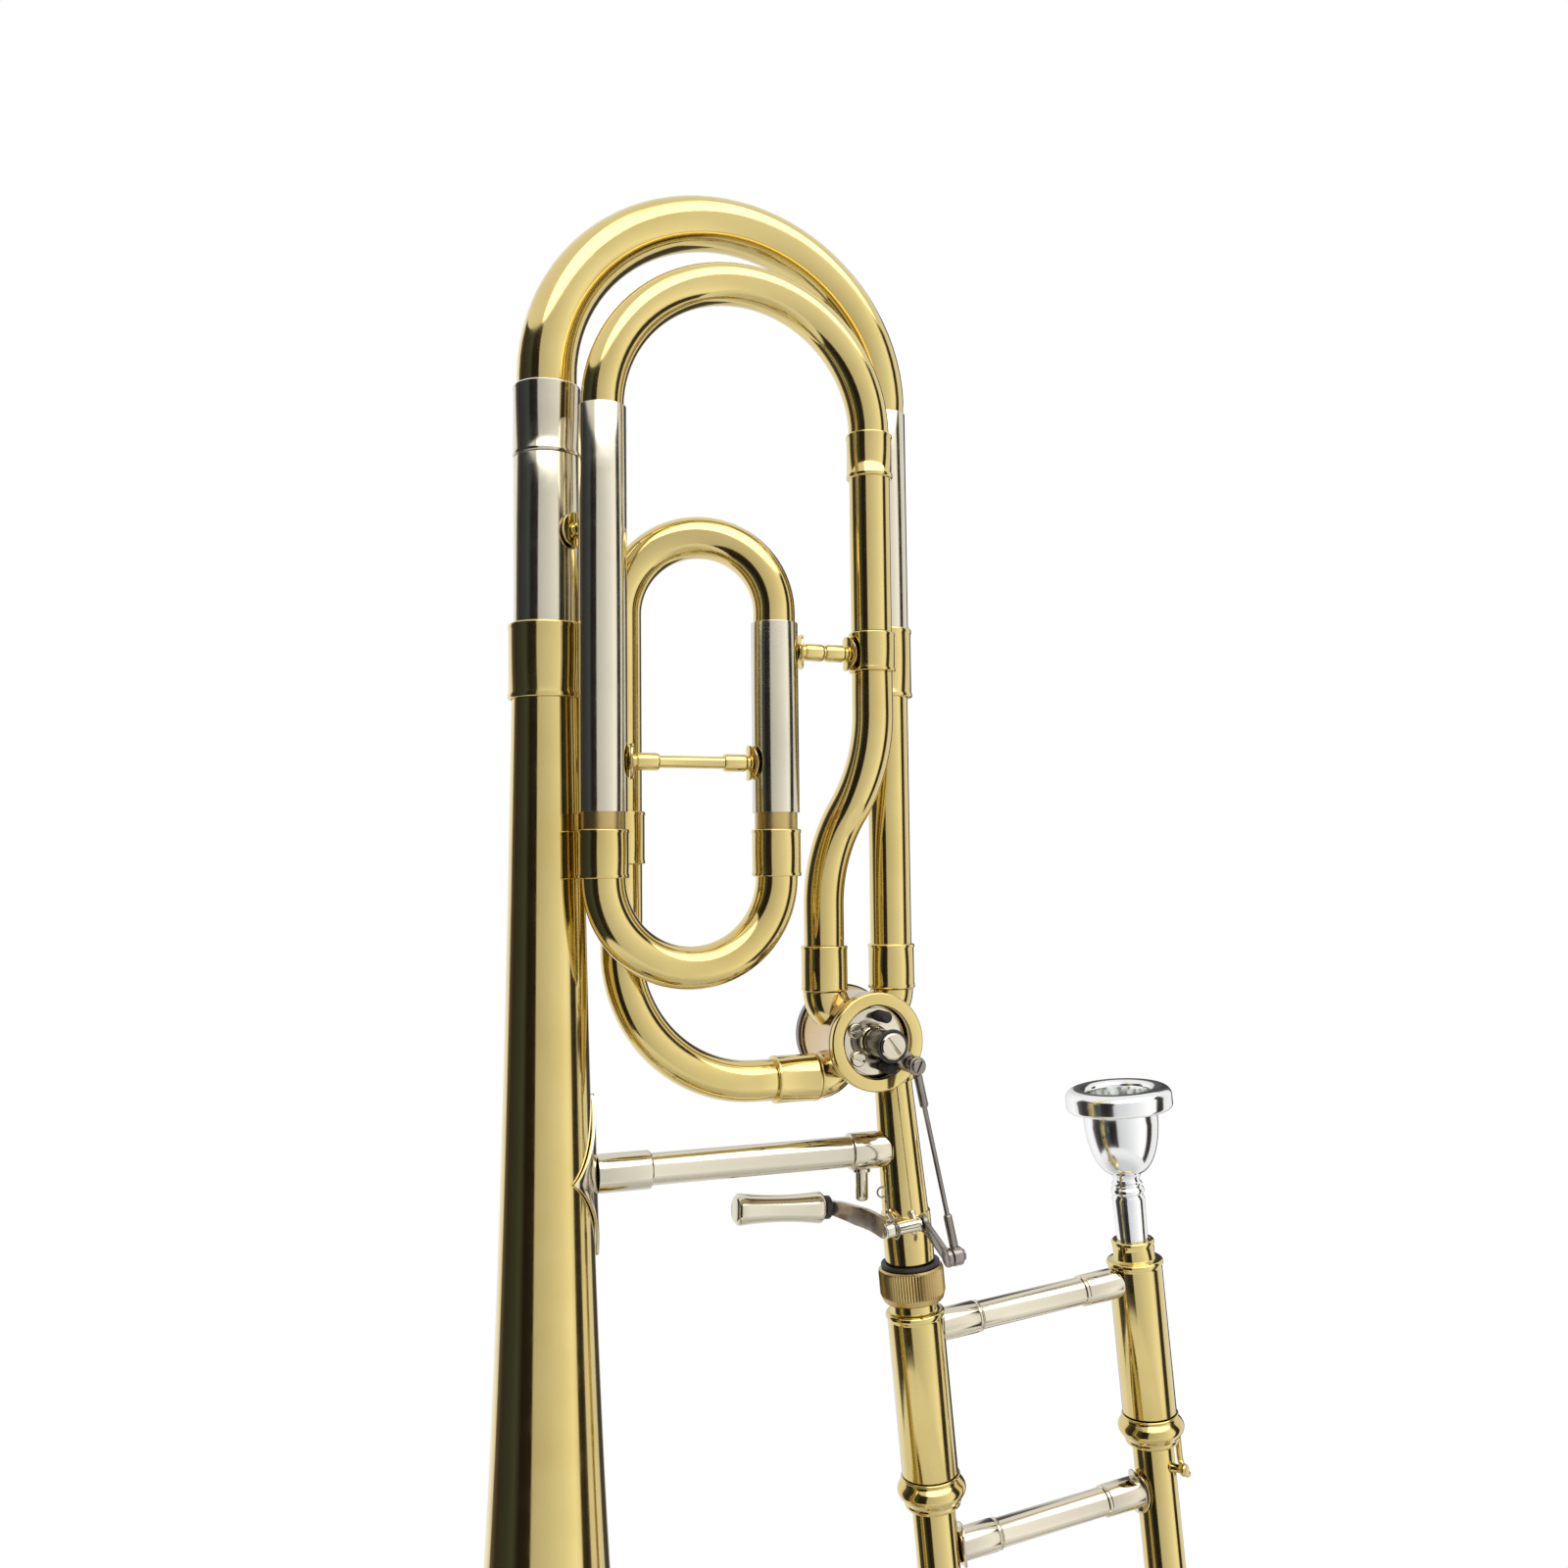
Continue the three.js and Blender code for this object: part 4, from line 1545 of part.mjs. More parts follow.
// Mouthpiece: rim, cup, throat, bead and tapered shank.
function mouthpiece() {
  const collarTop = barrelTop + RECEIVER_COLLAR_HEIGHT;
  const rimTop = collarTop + MOUTHPIECE_RISE;
  const tip = collarTop - SHANK_DEPTH + SEAT_GAP;
  const cupEnd = rimTop - CUP_OUTER_DEPTH;
  const beadLow = cupEnd - MOUTHPIECE_BEAD_LENGTH;
  const shankTop = SHANK_TIP_RADIUS + SHANK_TAPER * (beadLow - tip);
  const rimBottom = rimTop - RIM_HEIGHT;
  const bevel = RIM_HEIGHT * RIM_BEVEL_SHARE;
  const bowl = (share) => {
    const angle = share * (Math.PI / 2);
    return [
      THROAT_RADIUS + (RIM_INNER_RADIUS - THROAT_RADIUS) * Math.cos(angle),
      rimTop - bevel - (CUP_DEPTH - bevel) * Math.sin(angle),
    ];
  };
  const shell = (share) => {
    const angle = share * (Math.PI / 2);
    return [
      MOUTHPIECE_WAIST_RADIUS + (CUP_OUTER_RADIUS - MOUTHPIECE_WAIST_RADIUS) * Math.cos(angle),
      rimBottom - (rimBottom - cupEnd) * Math.sin(angle),
    ];
  };
  const quarters = [QUARTER_SHARE, MID_SHARE, MID_SHARE + QUARTER_SHARE];
  const backbore = SHANK_TIP_RADIUS - SHEET_WALL;
  const profile = [
    [backbore, tip],
    [SHANK_TIP_RADIUS, tip],
    [shankTop, beadLow],
    [MOUTHPIECE_BEAD_RADIUS, beadLow + MOUTHPIECE_BEAD_LENGTH * QUARTER_SHARE],
    [MOUTHPIECE_BEAD_RADIUS, cupEnd - MOUTHPIECE_BEAD_LENGTH * QUARTER_SHARE],
    [MOUTHPIECE_WAIST_RADIUS, cupEnd],
    ...quarters.map((share) => shell(1 - share)),
    [CUP_OUTER_RADIUS, rimBottom],
    [RIM_RADIUS - bevel, rimBottom],
    [RIM_RADIUS, rimBottom + bevel],
    [RIM_RADIUS, rimTop - 2 * bevel],
    [RIM_RADIUS - 2 * bevel, rimTop - bevel * MID_SHARE],
    [(RIM_RADIUS + RIM_INNER_RADIUS) / 2, rimTop],
    [RIM_INNER_RADIUS + bevel, rimTop - bevel * QUARTER_SHARE],
    [RIM_INNER_RADIUS, rimTop - bevel],
    ...quarters.map(bowl),
    [THROAT_RADIUS, rimTop - CUP_DEPTH],
    [THROAT_RADIUS, rimTop - CUP_DEPTH - MOUTHPIECE_BEAD_LENGTH],
  ];
  place(rightTube, 'mouthpiece', turned(profile, CUP_SIDES), silver);
}

bell();
bellLeg();
mainLeg();
mainTuningSlide();
fOuterLegs();
fTuningSlide();
fUpperBow();
fSmallBow();
fQuarterBend();
fSBend();
wrapBraces();
legBrace();
bellStay();
valveCasing();
valveCovers();
valveRotor();
stopMechanism();
valveLink();
neckpipe();
lockNut();
leverSaddle();
leverAxle();
thumbLever();
slideBarrels();
innerTubes();
slideBrace('inner_slide_brace', SLIDE_BRACE_DROP, BARREL_RADIUS, 0);
outerSlide();
slideBrace('outer_slide_brace', OUTER_BRACE_DROP, OUTER_TUBE_RADIUS, OUTER_SADDLE_RADIUS);
slideLock();
mouthpiece();

rightTube.position.x = SLIDE_SPACING;
slide.add(rightTube);
neck.add(slide);
neck.position.copy(neckTop);
neck.rotation.y = -NECK_LEAN;
model.add(neck);

export default model;
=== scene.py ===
"""Tenor trombone with a rotary valve: its finished surfaces, in metres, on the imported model's frame."""

import json
import math

import bpy
from mathutils import Matrix, Vector


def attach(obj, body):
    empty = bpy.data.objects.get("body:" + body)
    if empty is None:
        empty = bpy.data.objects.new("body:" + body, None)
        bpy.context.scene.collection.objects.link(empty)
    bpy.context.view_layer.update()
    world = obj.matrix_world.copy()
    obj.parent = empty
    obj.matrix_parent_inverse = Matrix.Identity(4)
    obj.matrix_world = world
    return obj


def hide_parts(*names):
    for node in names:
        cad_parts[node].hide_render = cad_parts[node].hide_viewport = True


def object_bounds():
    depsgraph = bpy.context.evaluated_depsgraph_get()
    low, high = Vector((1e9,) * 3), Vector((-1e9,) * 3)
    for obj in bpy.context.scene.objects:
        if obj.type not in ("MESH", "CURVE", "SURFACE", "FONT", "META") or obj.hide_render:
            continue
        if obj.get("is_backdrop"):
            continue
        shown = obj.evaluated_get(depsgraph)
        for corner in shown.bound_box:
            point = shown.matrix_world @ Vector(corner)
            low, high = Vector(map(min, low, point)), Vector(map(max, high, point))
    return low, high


bl_info = {
    "name": "Tenor Trombone",
    "version": (1, 0, 0),
    "blender": (4, 5, 0),
    "location": "View3D > Sidebar > Trombone",
    "description": "Models a tenor trombone with a rotary valve, and its studio",
    "category": "Object",
}

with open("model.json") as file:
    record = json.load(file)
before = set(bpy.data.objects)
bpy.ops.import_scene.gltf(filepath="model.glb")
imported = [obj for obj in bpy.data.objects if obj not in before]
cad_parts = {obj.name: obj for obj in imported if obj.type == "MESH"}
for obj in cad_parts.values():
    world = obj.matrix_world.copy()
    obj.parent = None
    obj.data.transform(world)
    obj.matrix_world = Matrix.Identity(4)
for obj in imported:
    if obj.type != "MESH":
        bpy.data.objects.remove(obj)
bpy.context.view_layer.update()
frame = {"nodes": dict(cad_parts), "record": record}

MM = 0.001
HALF = math.pi / 2
NO_TURN = Matrix.Identity(4)
TO_FRONT = Matrix.Rotation(HALF, 4, "X")
TO_RIGHT = Matrix.Rotation(HALF, 4, "Y")
DOWNWARDS = Matrix.Rotation(math.pi, 4, "X")
ACROSS = Vector((1, 0, 0))
BACK = Vector((0, 1, 0))
UP = Vector((0, 0, 1))

# In millimetres: outer radius and bore of the small legs, and of the tubes that slide in them
LEG = (8.6, 8)
INNER = (7.75, 7.15)
# Distance of the F attachment's upright tubes from the bell's axis
F_LONG_X, F_SHORT_X, F_SIDE_X, RETURN_X, SWAN_X = 16, 80, 119, 27, 106
# Height of the valve's upper ports, of the bell stay, and of the foot of the bell's tail ferrule
PORT_FACE, STAY_HEIGHT, TAIL_FOOT = 412.28, 351, 520
# The lever's bearing tube from the neck's axis, the link arm's reach and the stop arm's reach
LEVER_X, LEVER_Y, LINK_REACH, STOP_REACH = -6, -14, 20, 11.5
# Distance of the stop corks and of the stop plate from the rotor's axis
CORK_REACH, PLATE_REACH = 9.7, 9.6
# Distance of a cork's middle from the stop arm's middle line, where the arm rests on it
CORK_TOUCH = 5.25
# The grip's inner end: from the bell's axis, behind the neck's plane, and above the lever's axle
GRIP_X, GRIP_Y, GRIP_RISE = 109.5, 14, 5
# Width and height of the bell's diamond flange
FLANGE_WIDTH, FLANGE_HEIGHT = 30, 57
FLARE_POWER = 0.7
# The water key: its hinge round the crook in degrees below the level, the nipple's angle further down, and
# the hinge's distance from the crook's plane, which is minus to the front
KEY_PLACE, KEY_LEAD, KEY_Y = 40, 19, -13.9
# Distances in metres within which two points are one, along a route and in a flat bar
SAME_POINT, SAME_POINT_BAR = 2e-6, 1e-6


def mm_length(name, description, millimetres):
    """A size property whose default is given in millimetres."""
    return bpy.props.FloatProperty(
        name=name, description=description, default=millimetres * MM, subtype="DISTANCE", unit="LENGTH", precision=5
    )


def spot(name, description, *place):
    """A place in metres."""
    return bpy.props.FloatVectorProperty(
        name=name, description=description, default=place, size=3, subtype="TRANSLATION", unit="LENGTH"
    )


def tint(name, description, *colour):
    """A colour property."""
    return bpy.props.FloatVectorProperty(
        name=name, description=description, default=colour, size=3, subtype="COLOR", min=0, max=1
    )


def share(name, description, value):
    """A factor from nothing to the whole."""
    return bpy.props.FloatProperty(
        name=name, description=description, default=value, min=0, max=1, subtype="FACTOR"
    )


def turn(name, description, degrees):
    """An angle property whose default is given in degrees."""
    return bpy.props.FloatProperty(
        name=name, description=description, default=math.radians(degrees), subtype="ANGLE", unit="ROTATION"
    )


class FinishSettings(bpy.types.PropertyGroup):
    brass: tint("Lacquered brass", "Colour of the brass under its lacquer", 0.67, 0.535, 0.21)
    brass_deep: tint("Deep brass", "Colour where the lacquer lies thicker", 0.62, 0.48, 0.17)
    satin: tint("Satin brass", "Colour of the brushed brass tubes and the ribbed nut", 0.56, 0.41, 0.17)
    nickel: tint("Nickel silver", "Colour of the nickel silver legs and braces", 0.68, 0.63, 0.50)
    nickel_deep: tint("Deep nickel silver", "Colour of its duller clouds", 0.61, 0.56, 0.44)
    steel: tint("Steel", "Colour of the link and of the stop arm", 0.33, 0.30, 0.27)
    warm_nickel: tint("Warm nickel", "Colour of the lever's arm", 0.68, 0.59, 0.51)
    # The rear cap's nickel silver, darkened nearly to black as painted shade
    nickel_painted_shade: tint("Nickel with painted shade", "Colour of the valve's rear cap", 0.17, 0.14, 0.125)
    rose: tint("Rose brass", "Colour of the valve's drum", 0.57, 0.42, 0.22)
    silver: tint("Silver plate", "Colour of the mouthpiece", 0.86, 0.87, 0.86)
    rubber: tint("Rubber", "Colour of the rings and the bumper", 0.012, 0.012, 0.012)
    cork: tint("Cork", "Colour of the stop bumpers", 0.016, 0.014, 0.013)
    brass_gloss: share("Brass roughness", "Roughness of the polished brass", 0.09)
    nickel_gloss: share("Nickel roughness", "Roughness of the polished nickel silver", 0.11)


class TubeSettings(bpy.types.PropertyGroup):
    wall: mm_length("Wall", "Thickness of a tube's wall", 0.6)
    edge: mm_length("Edge", "Width of the softened edges", 0.18)
    sides: bpy.props.IntProperty(name="Sides", description="Edges round a tube", default=56, min=12)
    bow_steps: bpy.props.IntProperty(name="Bow steps", description="Steps round a half bow", default=44, min=8)
    tube_radius: mm_length("F tube radius", "Outer radius of the F attachment's tubes", 7.65)
    wrap_y: mm_length("Wrap plane", "Place of the F attachment in front of the bell's plane", -19.5)


class BellSettings(bpy.types.PropertyGroup):
    rim_radius: mm_length("Rim radius", "Radius of the bell at its rim", 108)
    flare_offset: mm_length("Flare offset", "Height by which the flare's curve is shifted", 23.6)
    base_radius: mm_length("Base radius", "Radius that the flare's curve tends to", 0.6)
    height: mm_length("Height", "Height of the bell's tail, with its spigot", 533)
    wall: mm_length("Sheet", "Thickness of the bell's sheet", 0.7)
    bead: mm_length("Bead", "Radius of the rolled rim", 2.2)


class BowSettings(bpy.types.PropertyGroup):
    spacing: mm_length("Leg spacing", "Distance between the legs of the main bow", 134)
    small_radius: mm_length("Neck end", "Tube radius at the bow's neck end", 7.95)
    large_radius: mm_length("Bell end", "Tube radius at the bow's bell end", 10.9)
    low: mm_length("Bow foot", "Height at which the main bow begins", 638.3)
    f_span: mm_length("F bow span", "Distance between the legs of the upper F bow", 103)


class ValveSettings(bpy.types.PropertyGroup):
    x: mm_length("Valve place", "Distance of the rotor's axis from the bell's axis", 120)
    z: mm_length("Valve height", "Height of the rotor's axis", 394)
    radius: mm_length("Casing radius", "Outer radius of the casing", 18.4)
    port: mm_length("Port offset", "Distance of each port from the rotor's axis", 14)
    knuckle: mm_length("Knuckle radius", "Outer radius of the four knuckles", 8.3)
    rest: turn("Stop arm", "Angle of the stop arm at rest", -40)


class NeckSettings(bpy.types.PropertyGroup):
    top: spot("Neck top", "Upper end of the neckpipe's axis", 0.1339635, 0, 0.3768602)
    lean: turn("Lean", "Lean of the neckpipe and the hand slide", -5)
    lever_drop: mm_length("Lever drop", "Distance of the lever's axle below the neck's top", 52)
    lever_turn: turn("Lever turn", "Travel of the thumb lever", 47.98)
    grip_tilt: turn("Grip tilt", "Tilt of the thumb grip", 9)


class SlideSettings(bpy.types.PropertyGroup):
    spacing: mm_length("Slide spacing", "Distance between the slide's tubes", 100)
    outer_radius: mm_length("Outer tube", "Radius of the outer slide tubes", 8.2)
    inner_radius: mm_length("Inner tube", "Radius of the inner slide tubes", 7.45)
    barrel_radius: mm_length("Barrel", "Radius of the barrels", 10.8)
    hook_turn: turn("Lock hook", "Angle of the lock's hook round the tube", -16)
    stud_turn: turn("Catch stud", "Angle of the catch stud round the tube", -62)


class StageSettings(bpy.types.PropertyGroup):
    camera: spot("Camera", "Place of the camera", -0.0906, -0.48996, 0.45907)
    yaw: turn("Yaw", "Turn of the camera to the right", 20.276)
    pitch: turn("Pitch", "Tilt of the camera upwards", 3.484)
    roll: turn("Roll", "Roll of the camera", -0.615)
    lens: bpy.props.FloatProperty(name="Lens", description="Focal length in millimetres", default=31.58, min=1)
    floor: tint("Floor", "Colour of the floor", 0.86, 0.86, 0.85)
    floor_drop: mm_length("Floor drop", "Room under the slide, so that it clears the floor drawn right out", 605)


def settings(name):
    return getattr(bpy.context.scene, "trombone_" + name)


# Modelling tools


def only(*objects):
    """Selects these objects alone."""
    bpy.ops.object.select_all(action="DESELECT")
    for obj in objects:
        obj.select_set(True)
        bpy.context.view_layer.objects.active = obj


def mode(kind):
    bpy.ops.object.mode_set(mode=kind)


def pick(action, kind=None):
    """Selects all or nothing in edit mode, by vertices, edges or faces."""
    if kind:
        bpy.ops.mesh.select_mode(type=kind)
    bpy.ops.mesh.select_all(action=action)


def settle():
    """Puts the active object's place into its mesh."""
    bpy.ops.object.transform_apply(location=True, rotation=True, scale=True)


class Ring:
    """A loop of edges that is drawn along a route and leaves a skin behind it."""

    def __init__(self, place, radius=1.0, sides=None, flat=None, capped=False):
        only()
        self.at, self.radius = place.to_translation(), radius
        self.heading = (place.to_3x3() @ UP).normalized()
        stand = {"location": self.at, "rotation": place.to_euler()}
        if flat:
            bpy.ops.mesh.primitive_plane_add(size=1, **stand)
            bpy.context.object.scale = (flat[0] * MM, flat[1] * MM, 1)
        else:
            count = sides or settings("tube").sides
            bpy.ops.mesh.primitive_circle_add(vertices=count, radius=radius * MM, **stand)
        settle()
        mode("EDIT")
        pick("SELECT", "EDGE")
        if capped:
            self.cap()

    def grow(self, radius):
        if radius is not None and abs(radius - self.radius) > 1e-6:
            bpy.ops.transform.resize(value=(radius / self.radius,) * 3, center_override=self.at)
            self.radius = radius
        return self

    def draw(self, length, radius=None):
        step = self.heading * length * MM
        bpy.ops.mesh.extrude_edges_move(TRANSFORM_OT_translate={"value": step})
        self.at = self.at + step
        return self.grow(radius)

    def bend(self, reach, angle, inward, steps, radius_at=None):
        inward, heading = inward.normalized(), self.heading
        centre = self.at + inward * reach * MM
        turns = steps if radius_at else 1
        for index in range(1, turns + 1):
            bpy.ops.mesh.spin(
                steps=steps // turns, angle=angle / turns, center=centre, axis=inward.cross(heading),
                use_auto_merge=False,
            )
            done = angle * index / turns
            self.at = centre + (heading * math.sin(done) - inward * math.cos(done)) * reach * MM
            self.heading = heading * math.cos(done) + inward * math.sin(done)
            if radius_at:
                self.grow(radius_at(index / turns))
        return self

    def cap(self):
        bpy.ops.mesh.edge_face_add()
        return self

    def done(self, wall=0, edge=None):
        """Closes the mesh, and gives the skin its wall and soft edges."""
        close(SAME_POINT)
        if wall:
            thicken(wall, -1)
        return soften(edge)


def close(distance):
    """Merges what meets within a distance, turns the faces out and leaves edit mode."""
    pick("SELECT")
    bpy.ops.mesh.remove_doubles(threshold=distance)
    bpy.ops.mesh.normals_make_consistent(inside=False)
    mode("OBJECT")


def apply_modifier(kind, **values):
    bpy.ops.object.modifier_add(type=kind)
    modifier = bpy.context.object.modifiers[-1]
    for key, value in values.items():
        setattr(modifier, key, value)
    bpy.ops.object.modifier_apply(modifier=modifier.name)


def thicken(wall, offset):
    apply_modifier("SOLIDIFY", thickness=wall * MM, offset=offset, use_even_offset=True)


def soften(edge=None):
    """Rounds the sharp edges of the active object and gives it back."""
    width = settings("tube").edge if edge is None else edge * MM
    if width:
        apply_modifier("BEVEL", width=width, segments=2, limit_method="ANGLE", angle_limit=math.radians(32))
    return bpy.context.object


def turned(place, profile, sides=None, edge=None):
    """A body of revolution from [radius, height] pairs along the place's Z, in millimetres."""
    points = list(profile)
    capped, ending = points[0][0] == 0, points[-1][0] == 0
    points = points[1 if capped else 0 : -1 if ending else None]
    start = place @ Matrix.Translation(UP * points[0][1] * MM)
    ring = Ring(start, points[0][0], sides, capped=capped)
    if not (capped or ending):
        points.append(points[0])
    for radius, height in points[1:]:
        drawn = (ring.at - start.to_translation()).dot(ring.heading) / MM
        ring.draw(height - points[0][1] - drawn, radius)
    if ending:
        ring.cap()
    return ring.done(0, edge)


def sleeve(outer, bore, low, high, lip=0.0):
    """The closed outline of a tube's end piece, with a small rolled lip at each end."""
    if not lip:
        return [(bore, low), (outer, low), (outer, high), (bore, high)]
    full = outer + lip
    return [
        (bore, low), (outer, low), (full, low + 0.4), (full, low + 1.1), (outer, low + 1.5), (outer, high - 1.5),
        (full, high - 1.1), (full, high - 0.4), (outer, high), (bore, high),
    ]


def washer(bore, radius, low, high, cut=0.3, rise=0.4):
    """The closed outline of a short ring, or of a disc where the bore is 0, with its corners cut."""
    return [
        (bore, low), (radius - cut, low), (radius, low + rise), (radius, high - rise), (radius - cut, high),
        (bore, high),
    ]


def mirrored(half, low, high):
    """An outline between two heights whose ends are alike, from one end's points."""
    return [*((r, low + z) for r, z in half), *((r, high - z) for r, z in reversed(half))]


def bulge(radius, rise, low, high, steps):
    """Points of a rounded bead on a tube."""
    middle, half = (low + high) / 2, (high - low) / 2
    angles = [math.pi * i / steps for i in range(1, steps)]
    return [(radius + rise * math.sin(a), middle - half * math.cos(a)) for a in angles]


def at(x, y=0.0, z=0.0):
    return Matrix.Translation(Vector((x, y, z)) * MM)


def neck(x=0.0, y=0.0, z=0.0):
    """A place in the leaning neck frame, whose Z runs up the neck's axis."""
    n = settings("neck")
    return Matrix.Translation(Vector(n.top)) @ Matrix.Rotation(n.lean, 4, "Y") @ at(x, y, z)


def valve(x=0.0, y=0.0, z=0.0):
    v = settings("valve")
    return Matrix.Translation((v.x, 0, v.z)) @ at(x, y, z)


def turned_by(angle):
    return Matrix.Rotation(angle, 4, "Z")


def facing(direction, place):
    """A place at a point in metres whose Z runs along a direction."""
    return Matrix.Translation(place) @ direction.to_track_quat("Z", "Y").to_matrix().to_4x4()


def piece(name, node, *shells, body="bell_section", slot="lacquered_brass", look=None, angle=34):
    """Names a finished piece, gives it its finish and lets it ride on its body in place of its node."""
    only(*reversed(shells))
    if len(shells) > 1:
        bpy.ops.object.join()
    obj = bpy.context.view_layer.objects.active
    obj.name = obj.data.name = name
    bpy.ops.object.shade_smooth_by_angle(angle=math.radians(angle))
    obj.data.materials.clear()
    obj.data.materials.append(finish(look or slot))
    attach(obj, body)
    if node:
        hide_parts(node)


def wrapped_disc(tube, reach, turn_round, height, radius, stretch=1.0):
    """A round or oval flange that hugs a tube: a disc bent on to the tube's skin."""
    ring = Ring(at(reach) @ TO_RIGHT, radius, 40)
    for factor in (0.85, 0.65, 0.4, 0.2):
        ring.draw(0, radius * factor)
    ring.cap()
    pick("SELECT")
    bpy.ops.transform.resize(value=(1, 1, stretch), center_override=(reach * MM, 0, 0))
    bpy.ops.mesh.normals_make_consistent(inside=False)
    mode("OBJECT")
    apply_modifier("CAST", cast_type="CYLINDER", factor=1, use_radius_as_size=True, size=reach * MM, radius=0)
    bpy.context.object.matrix_world = tube @ at(0, 0, height) @ turned_by(turn_round)
    settle()
    thicken(0.9, 0)
    return soften(0.25)


def coped(bar, place, radius, low, high):
    """Cuts a bar's end to the round of the tube that it meets."""
    cutter = turned(place, [(0, low), (radius, low), (radius, high), (0, high)], 72, edge=0)
    only(bar)
    apply_modifier("BOOLEAN", object=cutter, operation="DIFFERENCE", solver="EXACT")
    bpy.data.objects.remove(cutter)


def slotted_head(place, radius, low, high, slot, degrees, sides=32):
    """A screw head whose slot is cut by two bisections and pushed in."""
    rim, angle = 0.12 * radius, math.radians(degrees)
    ring = Ring(place @ at(0, 0, low), radius, sides, capped=True)
    ring.draw(high - low - rim, radius).draw(rim, radius - rim).draw(0, radius - 1.4 * rim).cap()
    bpy.ops.mesh.select_mode(type="FACE")
    across = (place.to_3x3() @ Vector((-math.sin(angle), math.cos(angle), 0))).normalized()
    top = place @ Vector((0, 0, high * MM))

    def on_top(centre, reach):
        return (centre - top).length < radius * MM * reach and abs((centre - top).dot(ring.heading)) < 1e-6

    for side in (-1, 1):
        bpy.ops.mesh.bisect(plane_co=top + across * side * slot / 2 * MM, plane_no=across)
        select_faces(lambda centre: on_top(centre, 0.9))
    select_faces(lambda centre: on_top(centre, 0.5) and abs((centre - top).dot(across)) < slot * 0.3 * MM)
    bpy.ops.mesh.extrude_region_move(TRANSFORM_OT_translate={"value": -ring.heading * slot * 1.6 * MM})
    bpy.ops.mesh.select_mode(type="EDGE")
    return ring.done(edge=0.06)


def select_faces(test):
    """Selects the faces of the mesh in edit mode whose centre passes the test."""
    pick("DESELECT")
    mode("OBJECT")
    for polygon in bpy.context.object.data.polygons:
        polygon.select = test(polygon.center)
    mode("EDIT")


# Finishes


def feed(tree, node, inputs):
    """Links each input to the socket given for it, or sets it to the value given."""
    for key, value in inputs.items() if isinstance(inputs, dict) else enumerate(inputs):
        if isinstance(value, bpy.types.NodeSocket):
            tree.links.new(value, node.inputs[key])
        else:
            node.inputs[key].default_value = value
    return node


def add_node(tree, kind, inputs=(), **values):
    node = tree.nodes.new("ShaderNode" + kind)
    for key, value in values.items():
        setattr(node, key, value)
    return feed(tree, node, inputs)


def add_ramp(tree, factor, stops):
    """A colour ramp through stops of a place and a colour."""
    ramp = add_node(tree, "ValToRGB", {"Fac": factor})
    elements = ramp.color_ramp.elements
    elements[0].position, elements[1].position = stops[0][0], stops[-1][0]
    elements[0].color, elements[1].color = (*stops[0][1], 1), (*stops[-1][1], 1)
    for place, colour in stops[1:-1]:
        elements.new(place).color = (*colour, 1)
    return ramp.outputs["Color"]


def new_material(name):
    material = bpy.data.materials.new(name)
    material.use_nodes = True
    return material, material.node_tree


def dimmed(colour, factor):
    return [factor * c for c in colour]


class Surface:
    """The nodes of one finish, read on Object coordinates."""

    def __init__(self, name, **values):
        self.tree = new_material(name + "_finish")[1]
        named = {key.replace("_", " "): value for key, value in values.items()}
        self.shader = feed(self.tree, self.tree.nodes["Principled BSDF"], named)
        self.coordinates = add_node(self.tree, "TexCoord").outputs["Object"]

    def noise(self, scale, detail, stretch=(1, 1, 1)):
        mapping = add_node(self.tree, "Mapping", {"Vector": self.coordinates, "Scale": stretch})
        inputs = {"Vector": mapping.outputs["Vector"], "Scale": scale, "Detail": detail}
        return add_node(self.tree, "TexNoise", inputs).outputs["Fac"]

    def colours(self, factor, first, second, start=0.35, end=0.7):
        colour = add_ramp(self.tree, factor, [(start, first), (end, second)])
        feed(self.tree, self.shader, {"Base Color": colour})

    def roughness(self, factor, low, high):
        inputs = {"Value": factor, "From Min": 0.3, "From Max": 0.7, "To Min": low, "To Max": high}
        ranged = add_node(self.tree, "MapRange", inputs)
        feed(self.tree, self.shader, {"Roughness": ranged.outputs["Result"]})

    def bump(self, height, strength, distance):
        bump = add_node(self.tree, "Bump", {"Height": height, "Strength": strength, "Distance": distance})
        feed(self.tree, self.shader, {"Normal": bump.outputs["Normal"]})


